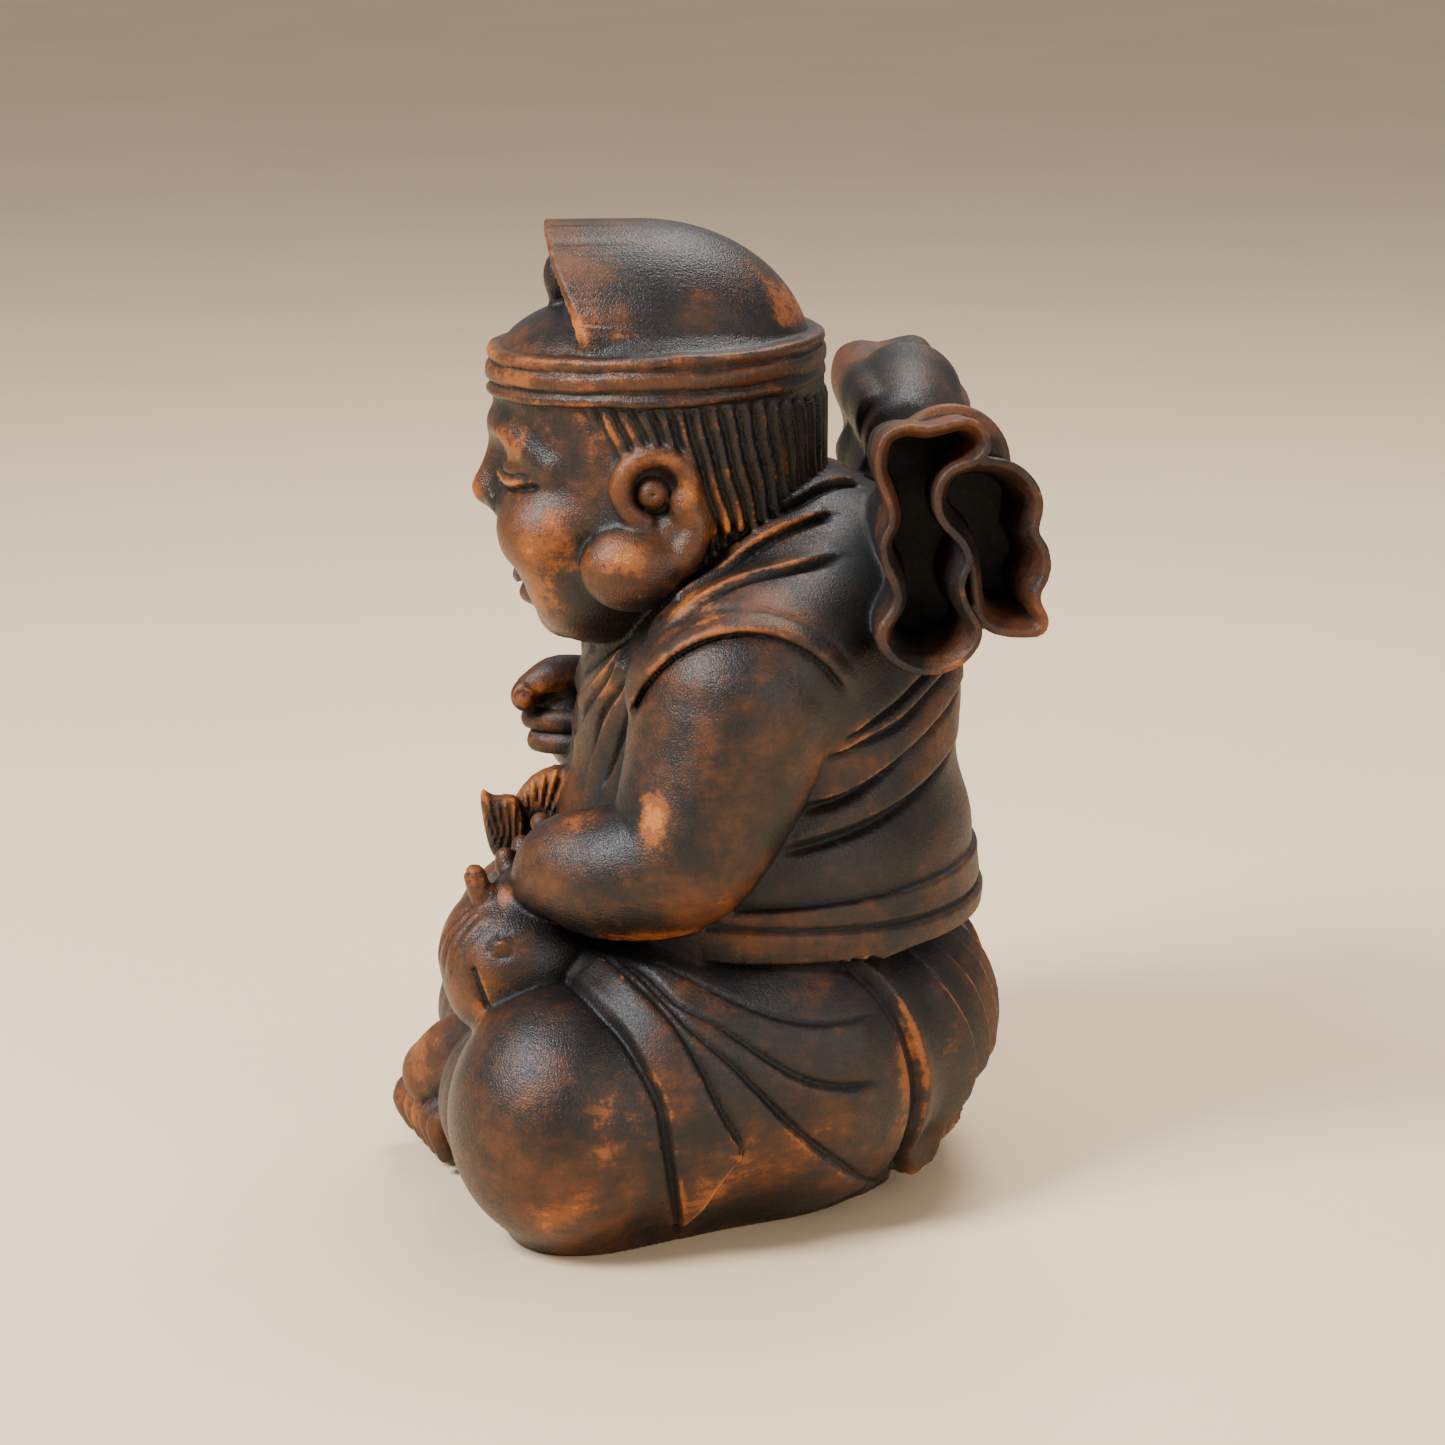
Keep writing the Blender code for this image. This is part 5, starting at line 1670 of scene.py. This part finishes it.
class Term:
    """A shader socket that takes part in maths written as Python."""

    def __init__(self, graph: Graph, socket: bpy.types.NodeSocket) -> None:
        """Wraps a socket of a graph."""
        self.graph = graph
        self.socket = socket

    def _join(self, operation: str, first: Term | float, second: Term | float) -> Term:
        """Adds one Math node."""
        node = self.graph.add("ShaderNodeMath", {"operation": operation}, {0: first, 1: second})
        return Term(self.graph, node.outputs[0])

    def __add__(self, other: Term | float) -> Term:
        """Adds."""
        return self._join("ADD", self, other)

    def __radd__(self, other: float) -> Term:
        """Adds, written the other way round."""
        return self._join("ADD", other, self)

    def __sub__(self, other: Term | float) -> Term:
        """Subtracts."""
        return self._join("SUBTRACT", self, other)

    def __rsub__(self, other: float) -> Term:
        """Subtracts, written the other way round."""
        return self._join("SUBTRACT", other, self)

    def __mul__(self, other: Term | float) -> Term:
        """Multiplies."""
        return self._join("MULTIPLY", self, other)

    def __rmul__(self, other: float) -> Term:
        """Multiplies, written the other way round."""
        return self._join("MULTIPLY", other, self)

    def most(self, other: Term | float) -> Term:
        """Takes the higher of two."""
        return self._join("MAXIMUM", self, other)

    def least(self, other: Term | float) -> Term:
        """Takes the lower of two."""
        return self._join("MINIMUM", self, other)

    def between(self, low: float, high: float) -> Term:
        """Rises smoothly from zero at low to one at high, or falls where low is the higher.

        Args:
            low: The value that gives zero.
            high: The value that gives one.

        Returns:
            The value from zero to one.
        """
        settings = {"interpolation_type": "SMOOTHSTEP"}
        flip = low > high
        ends = (high, low) if flip else (low, high)
        sockets = {"Value": self, "From Min": ends[0], "From Max": ends[1]}
        node = self.graph.add("ShaderNodeMapRange", settings, sockets)
        risen = Term(self.graph, node.outputs[0])
        return 1.0 - risen if flip else risen


class Graph:
    """The node graph of one material."""

    def __init__(self, name: str) -> None:
        """Makes a material with an empty surface shader.

        Args:
            name: The material's name.
        """
        self.material = bpy.data.materials.new(name)
        self.material.use_nodes = True
        self.tree = self.material.node_tree
        self.shader = self.tree.nodes["Principled BSDF"]
        where = self.add("ShaderNodeTexCoord", {}, {})
        self.place = Term(self, where.outputs["Object"])

    def add(self, kind: str, settings: dict[str, object], sockets: dict[int | str, object]) -> bpy.types.Node:
        """Adds a node.

        Args:
            kind: The node's type.
            settings: Its own settings, which are set first.
            sockets: A value or a Term for each input, by name or number.

        Returns:
            The node.
        """
        node = self.tree.nodes.new(kind)
        for name, value in settings.items():
            setattr(node, name, value)
        for key, value in sockets.items():
            self.feed(node.inputs[key], value)
        return node

    def feed(self, socket: bpy.types.NodeSocket, value: object) -> None:
        """Links a Term to a socket, or sets the socket's own value.

        Args:
            socket: The socket to feed.
            value: A Term to link, or a value to set.
        """
        if isinstance(value, Term):
            self.tree.links.new(value.socket, socket)
        else:
            socket.default_value = value

    def read(self, name: str) -> Term:
        """Reads a value that is kept on the mesh points."""
        node = self.add("ShaderNodeAttribute", {"attribute_name": name}, {})
        return Term(self, node.outputs["Fac"])

    def stretched(self, scale: Point, turn: Point = (0, 0, 0)) -> Term:
        """Gives the place with each axis scaled, after a turn in radians."""
        node = self.add("ShaderNodeMapping", {}, {"Vector": self.place, "Scale": scale, "Rotation": turn})
        return Term(self, node.outputs[0])

    def noise(self, scale: float, detail: float, rough: float, where: Term | None = None) -> Term:
        """Gives soft noise around a half.

        Args:
            scale: How many spots there are in a metre.
            detail: How many finer layers it has.
            rough: How strong the finer layers are.
            where: The place it is read at.

        Returns:
            The noise.
        """
        sockets = {"Vector": where or self.place, "Scale": scale, "Detail": detail, "Roughness": rough}
        return Term(self, self.add("ShaderNodeTexNoise", {}, sockets).outputs[0])

    def mix(self, share: Term | float, first: Term | Colour, second: Term | Colour) -> Term:
        """Mixes two colours.

        Args:
            share: How much of the second one shows.
            first: The first colour.
            second: The second colour.

        Returns:
            The mixed colour.
        """
        sockets = {0: share, 6: self.solid(first), 7: self.solid(second)}
        node = self.add("ShaderNodeMix", {"data_type": "RGBA", "clamp_factor": True}, sockets)
        return Term(self, node.outputs[2])

    @staticmethod
    def solid(colour: Term | Colour) -> Term | tuple[float, ...]:
        """Gives a colour its fourth number."""
        return colour if isinstance(colour, Term) else (*colour, 1.0)

    def bump(self, height: Term, distance: float, strength: float) -> Term:
        """Gives the direction of a surface roughened by a height."""
        node = self.add("ShaderNodeBump", {}, {"Height": height, "Distance": distance, "Strength": strength})
        return Term(self, node.outputs[0])


@dataclass(frozen=True)
class StainedWood:
    """Black-brown stain, satin, worn to copper on what stands out, dusty in what lies deep, with painted
    shade darkening the creases and hollows.
    """

    # The darkest colour: dark stain where the tone runs low, and painted shade in creases, hollows and the
    # bags' mouths.
    black_and_painted_shade: Colour = (0.0030, 0.0027, 0.0030)
    stain: Colour = (0.0085, 0.0062, 0.0056)
    brown: Colour = (0.043, 0.0155, 0.0058)
    amber: Colour = (0.128, 0.037, 0.0075)
    copper: Colour = (0.250, 0.072, 0.0120)
    bare: Colour = (0.430, 0.142, 0.0200)
    dust: Colour = (0.095, 0.082, 0.070)
    cloud_scale: float = 22.0
    blotch_scale: float = 70.0
    speck_scale: float = 900.0
    pebble_scale: float = 1500.0
    grain_stretch: Point = (380, 60, 380)
    grain_turn: Point = (0.25, 0, 0)
    smoothest: float = 0.26
    roughest: float = 0.85
    specular: float = 0.36
    relief: float = 0.00034
    relief_strength: float = 0.9

    def build(self) -> bpy.types.Material:
        """Builds the material.

        Returns:
            The finished material.
        """
        graph = Graph("stained_wood")
        edge, form, broad = graph.read("edge"), graph.read("form"), graph.read("broad")
        rubbed_and_painted_shade, cloth = graph.read("rubbed_and_painted_shade"), graph.read("cloth")
        cloud = graph.noise(self.cloud_scale, 5, 0.62) - 0.5
        blotch = graph.noise(self.blotch_scale, 8, 0.72) - 0.5
        grain = graph.noise(1, 5, 0.6, graph.stretched(self.grain_stretch, self.grain_turn)) - 0.5
        speck = graph.noise(self.speck_scale, 3, 0.6) - 0.5
        pebble = graph.noise(self.pebble_scale, 2, 0.5)

        tone = cloud * 1.8 + blotch * 1.1 + grain * 0.4 + broad.least(2.0) * 0.13 + rubbed_and_painted_shade * 0.30
        base = graph.mix(tone.between(-0.10, 0.35), self.stain, self.brown)
        base = graph.mix(tone.between(0.10, 0.75) * 0.9, base, self.amber)
        base = graph.mix(tone.between(-0.05, -0.45) * 0.8, base, self.black_and_painted_shade)
        ragged = blotch * 1.7 + cloud * 0.9 + grain * 0.5 + speck * 0.35
        worn = edge.between(0.25, 0.85) * 0.34 + form.between(0.3, 1.6) * 0.12 + rubbed_and_painted_shade * 0.56
        thin = (worn + ragged * 0.75).between(0.34, 0.58)
        through = (worn + ragged * 0.95).between(0.66, 0.74)
        base = graph.mix(thin * 0.8, base, self.copper)
        base = graph.mix(through * 0.75, base, self.bare)
        # Painted shade: creases, hollows and the floors of the bags' mouths, kept in deep, are mixed towards
        # the darkest colour, together with the thick stain over the bags.
        thick_stain_and_painted_shade = rubbed_and_painted_shade.between(-0.1, -0.8)
        deep = edge.between(-0.12, -0.50).most(form.between(-0.40, -1.4)).most(thick_stain_and_painted_shade)
        base = graph.mix(deep * 0.92, base, self.black_and_painted_shade)
        settled = form.between(-0.05, -0.50) * cloud.between(0.0, 0.14) * (0.3 + cloth * 0.5)
        base = graph.mix(settled * (1 - thick_stain_and_painted_shade) * 0.14, base, self.dust)
        bloom = speck.between(0.06, 0.16) * cloud.between(-0.1, 0.15) * (0.06 + 0.07 * cloth) * (1 - thick_stain_and_painted_shade)
        base = graph.mix(bloom, base, self.dust)
        graph.feed(graph.shader.inputs["Base Color"], base)

        sheen = 0.38 + cloth * 0.12 + speck * 0.5 + cloud * 0.15
        sheen = sheen + thin * 0.06 + deep * 0.15 + settled * 0.25
        graph.feed(graph.shader.inputs["Roughness"], sheen.most(self.smoothest).least(self.roughest))
        height = pebble * (0.9 - cloth * 0.3) + speck * 0.6 + grain * 0.5 - thin * 0.15 - through * 0.3
        graph.feed(graph.shader.inputs["Normal"], graph.bump(height, self.relief, self.relief_strength))
        graph.shader.inputs["Specular IOR Level"].default_value = self.specular
        return graph.material


@dataclass(frozen=True)
class PaleFloor:
    """A plain pale matt floor."""

    colour: Colour = (0.84, 0.64, 0.42)
    roughness: float = 0.75
    cloud_scale: float = 3.0
    shade: float = 0.965

    def build(self) -> bpy.types.Material:
        """Builds the material.

        Returns:
            The finished material.
        """
        graph = Graph("pale_floor")
        soft = graph.noise(self.cloud_scale, 2, 0.5)
        warm = tuple(c * self.shade for c in self.colour)
        graph.feed(graph.shader.inputs["Base Color"], graph.mix(soft.between(0.3, 0.7), self.colour, warm))
        graph.shader.inputs["Roughness"].default_value = self.roughness
        return graph.material


@dataclass
class Carving:
    """The whole figure as one carved piece."""

    trunk: Trunk = field(default_factory=Trunk)
    skirt: Skirt = field(default_factory=Skirt)
    legs: Legs = field(default_factory=Legs)
    ground: Ground = field(default_factory=Ground)
    belt: Belt = field(default_factory=Belt)
    robe: Robe = field(default_factory=Robe)
    head: Head = field(default_factory=Head)
    hair: Hair = field(default_factory=Hair)
    ears: Ears = field(default_factory=Ears)
    cap: Cap = field(default_factory=Cap)
    bundle: Bundle = field(default_factory=Bundle)
    arms: Arms = field(default_factory=Arms)
    hands: Hands = field(default_factory=Hands)
    fish: Fish = field(default_factory=Fish)
    foot: Foot = field(default_factory=Foot)
    wear: Wear = field(default_factory=Wear)
    step: float = 1.1
    facets: int = 190000
    head_blend: float = 0.6
    low: Point = (-146, -140, -12)
    high: Point = (146, 124, 358)
    middle: Flat = (0.0, -8.41)

    def shape(self) -> Wood:
        """Blends and cuts every form.

        Returns:
            The finished wood.
        """
        wood = Wood(self.low, self.high, self.step)
        self.trunk.carve(wood)
        self.skirt.carve(wood)
        self.legs.carve(wood)
        self.skirt.undercut(wood)
        self.ground.carve(wood)
        self.belt.carve(wood)
        LOG.info("body blocked out")
        self.robe.carve_upper(wood)
        self.robe.carve_lower(wood)
        LOG.info("robe carved")
        self.bundle.carve(wood)
        LOG.info("bundles carved")
        top = Wood(self.low, self.high, self.step)
        self.head.carve(top)
        self.hair.carve(top, self.head)
        self.ears.carve(top, self.head)
        self.cap.carve(top, self.head)
        wood.join(top, self.head_blend)
        LOG.info("head carved")
        self.arms.carve(wood)
        self.fish.carve(wood)
        self.fish.carve_rays(wood)
        self.hands.carve(wood)
        self.foot.carve(wood)
        part, _, _, z = wood.block(np.array(self.low), np.array(self.high))
        wood.field[part] = np.maximum(wood.field[part], -z)
        LOG.info("limbs and fish carved")
        return wood

    def mesh(self, wood: Wood) -> bpy.types.Mesh:
        """Turns the wood into a mesh of triangles, in metres.

        Args:
            wood: The finished wood.

        Returns:
            The mesh, before it is thinned.
        """
        grid = openvdb.FloatGrid(EMPTY)
        grid.copyFromArray(wood.field)
        grid.transform = openvdb.createLinearTransform(voxelSize=1.0)
        points, quads = grid.convertToQuads(isovalue=0.0)
        shift = np.array([*self.middle, 0.0])
        points = (points * wood.step + wood.low - shift) * METRES
        mesh = bpy.data.meshes.new("carved_figure")
        mesh.from_pydata(points.tolist(), [], quads[:, ::-1].tolist())
        return mesh

    def thin(self, mesh: bpy.types.Mesh) -> bpy.types.Mesh:
        """Thins the mesh where it is flat.

        Args:
            mesh: The full mesh.

        Returns:
            The thinned mesh.
        """
        trial = bpy.data.objects.new("trial", mesh)
        bpy.context.scene.collection.objects.link(trial)
        change = trial.modifiers.new("thin", "DECIMATE")
        change.ratio = min(1.0, self.facets / (2 * len(mesh.polygons)))
        change.use_collapse_triangulate = True
        bpy.context.view_layer.update()
        result = bpy.data.meshes.new_from_object(trial.evaluated_get(bpy.context.evaluated_depsgraph_get()))
        bpy.data.objects.remove(trial)
        bpy.data.meshes.remove(mesh)
        result.name = "carved_figure"
        return result

    def build(self) -> bpy.types.Object:
        """Carves the figure, dresses it and sets it on the frame.

        Returns:
            The finished piece.
        """
        wood = self.shape()
        full = self.mesh(wood)
        LOG.info("full mesh has %d faces", len(full.polygons))
        mesh = self.thin(full)
        mesh.shade_smooth()
        points = np.zeros(3 * len(mesh.vertices), np.float32)
        mesh.vertices.foreach_get("co", points)
        places = points.reshape(-1, 3) / METRES + np.array([*self.middle, 0.0])
        self.wear.write(mesh, places, wood, self.arms)
        mesh.materials.clear()
        mesh.materials.append(StainedWood().build())
        piece = bpy.data.objects.new("carved_figure", mesh)
        bpy.context.scene.collection.objects.link(piece)
        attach(piece, "root")
        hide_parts("ebisu_figure")
        LOG.info("carved_figure has %d triangles", len(mesh.polygons))
        return piece


@dataclass(frozen=True)
class Softbox:
    """A large soft lamp that points at the figure."""

    place: Point
    power: float
    width: float
    colour: Colour = (1.0, 1.0, 1.0)

    def hang(self, name: str, target: Vector) -> None:
        """Hangs the lamp.

        Args:
            name: The lamp's name.
            target: The place that it points at.
        """
        data = bpy.data.lights.new(name, "AREA")
        data.energy = self.power
        data.size = self.width
        data.color = self.colour
        lamp = bpy.data.objects.new(name, data)
        lamp.location = self.place
        lamp.rotation_mode = "QUATERNION"
        lamp.rotation_quaternion = (Vector(self.place) - target).to_track_quat("Z", "Y")
        bpy.context.scene.collection.objects.link(lamp)


@dataclass
class Studio:
    """The floor, the light and the camera."""

    azimuth: float = 86.0
    elevation: float = 14.0
    distance: float = 1.45
    target_height: float = 0.165
    lens: float = 98.4
    sensor: float = 36.0
    lamp_height: float = 0.16
    floor_half: float = 24.0
    sky: Colour = (0.95, 0.92, 0.88)
    sky_strength: float = 0.45
    lamps: Sequence[tuple[str, Softbox]] = (
        ("window", Softbox((0.75, -1.25, 1.55), 78.0, 0.65, (0.94, 0.97, 1.0))),
        ("bounce", Softbox((1.35, 1.15, 0.75), 16.0, 1.1, (1.0, 0.94, 0.86))),
        ("top", Softbox((-0.7, 0.4, 1.9), 40.0, 0.9, (1.0, 0.98, 0.95))),
    )

    def build(self, carving: Carving) -> None:
        """Sets the floor, lamps, sky and camera.

        Args:
            carving: The figure, for the place of its middle.
        """
        self.lay_floor()
        for name, lamp in self.lamps:
            lamp.hang(name, Vector((0, 0, self.lamp_height)))
        world = bpy.data.worlds.new("sky")
        world.use_nodes = True
        background = world.node_tree.nodes["Background"]
        background.inputs[0].default_value = (*self.sky, 1.0)
        background.inputs[1].default_value = self.sky_strength
        bpy.context.scene.world = world
        across, back = carving.middle
        self.set_camera(Vector((-across * METRES, -back * METRES, self.target_height)))

    def lay_floor(self) -> None:
        """Lays the floor."""
        half = self.floor_half
        mesh = bpy.data.meshes.new("floor")
        corners = [(-half, -half, 0), (half, -half, 0), (half, half, 0), (-half, half, 0)]
        mesh.from_pydata(corners, [], [(0, 1, 2, 3)])
        mesh.materials.append(PaleFloor().build())
        floor = bpy.data.objects.new("floor", mesh)
        bpy.context.scene.collection.objects.link(floor)

    def set_camera(self, target: Vector) -> None:
        """Sets the camera at the photograph's angle.

        Args:
            target: The place in the middle of the view.
        """
        a, e = math.radians(self.azimuth), math.radians(self.elevation)
        back = Vector((math.sin(a) * math.cos(e), -math.cos(a) * math.cos(e), math.sin(e)))
        data = bpy.data.cameras.new("camera")
        data.sensor_width = self.sensor
        data.lens = self.lens
        camera = bpy.data.objects.new("camera", data)
        camera.location = target + back * self.distance
        camera.rotation_mode = "QUATERNION"
        camera.rotation_quaternion = (-back).to_track_quat("-Z", "Y")
        bpy.context.scene.collection.objects.link(camera)
        bpy.context.scene.camera = camera


def main() -> None:
    """Builds the figure and the studio."""
    logging.basicConfig(level=logging.INFO, format="%(name)s: %(message)s")
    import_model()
    carving = Carving()
    carving.build()
    Studio().build(carving)
    LOG.info("studio set")


if __name__ == "__main__":
    main()
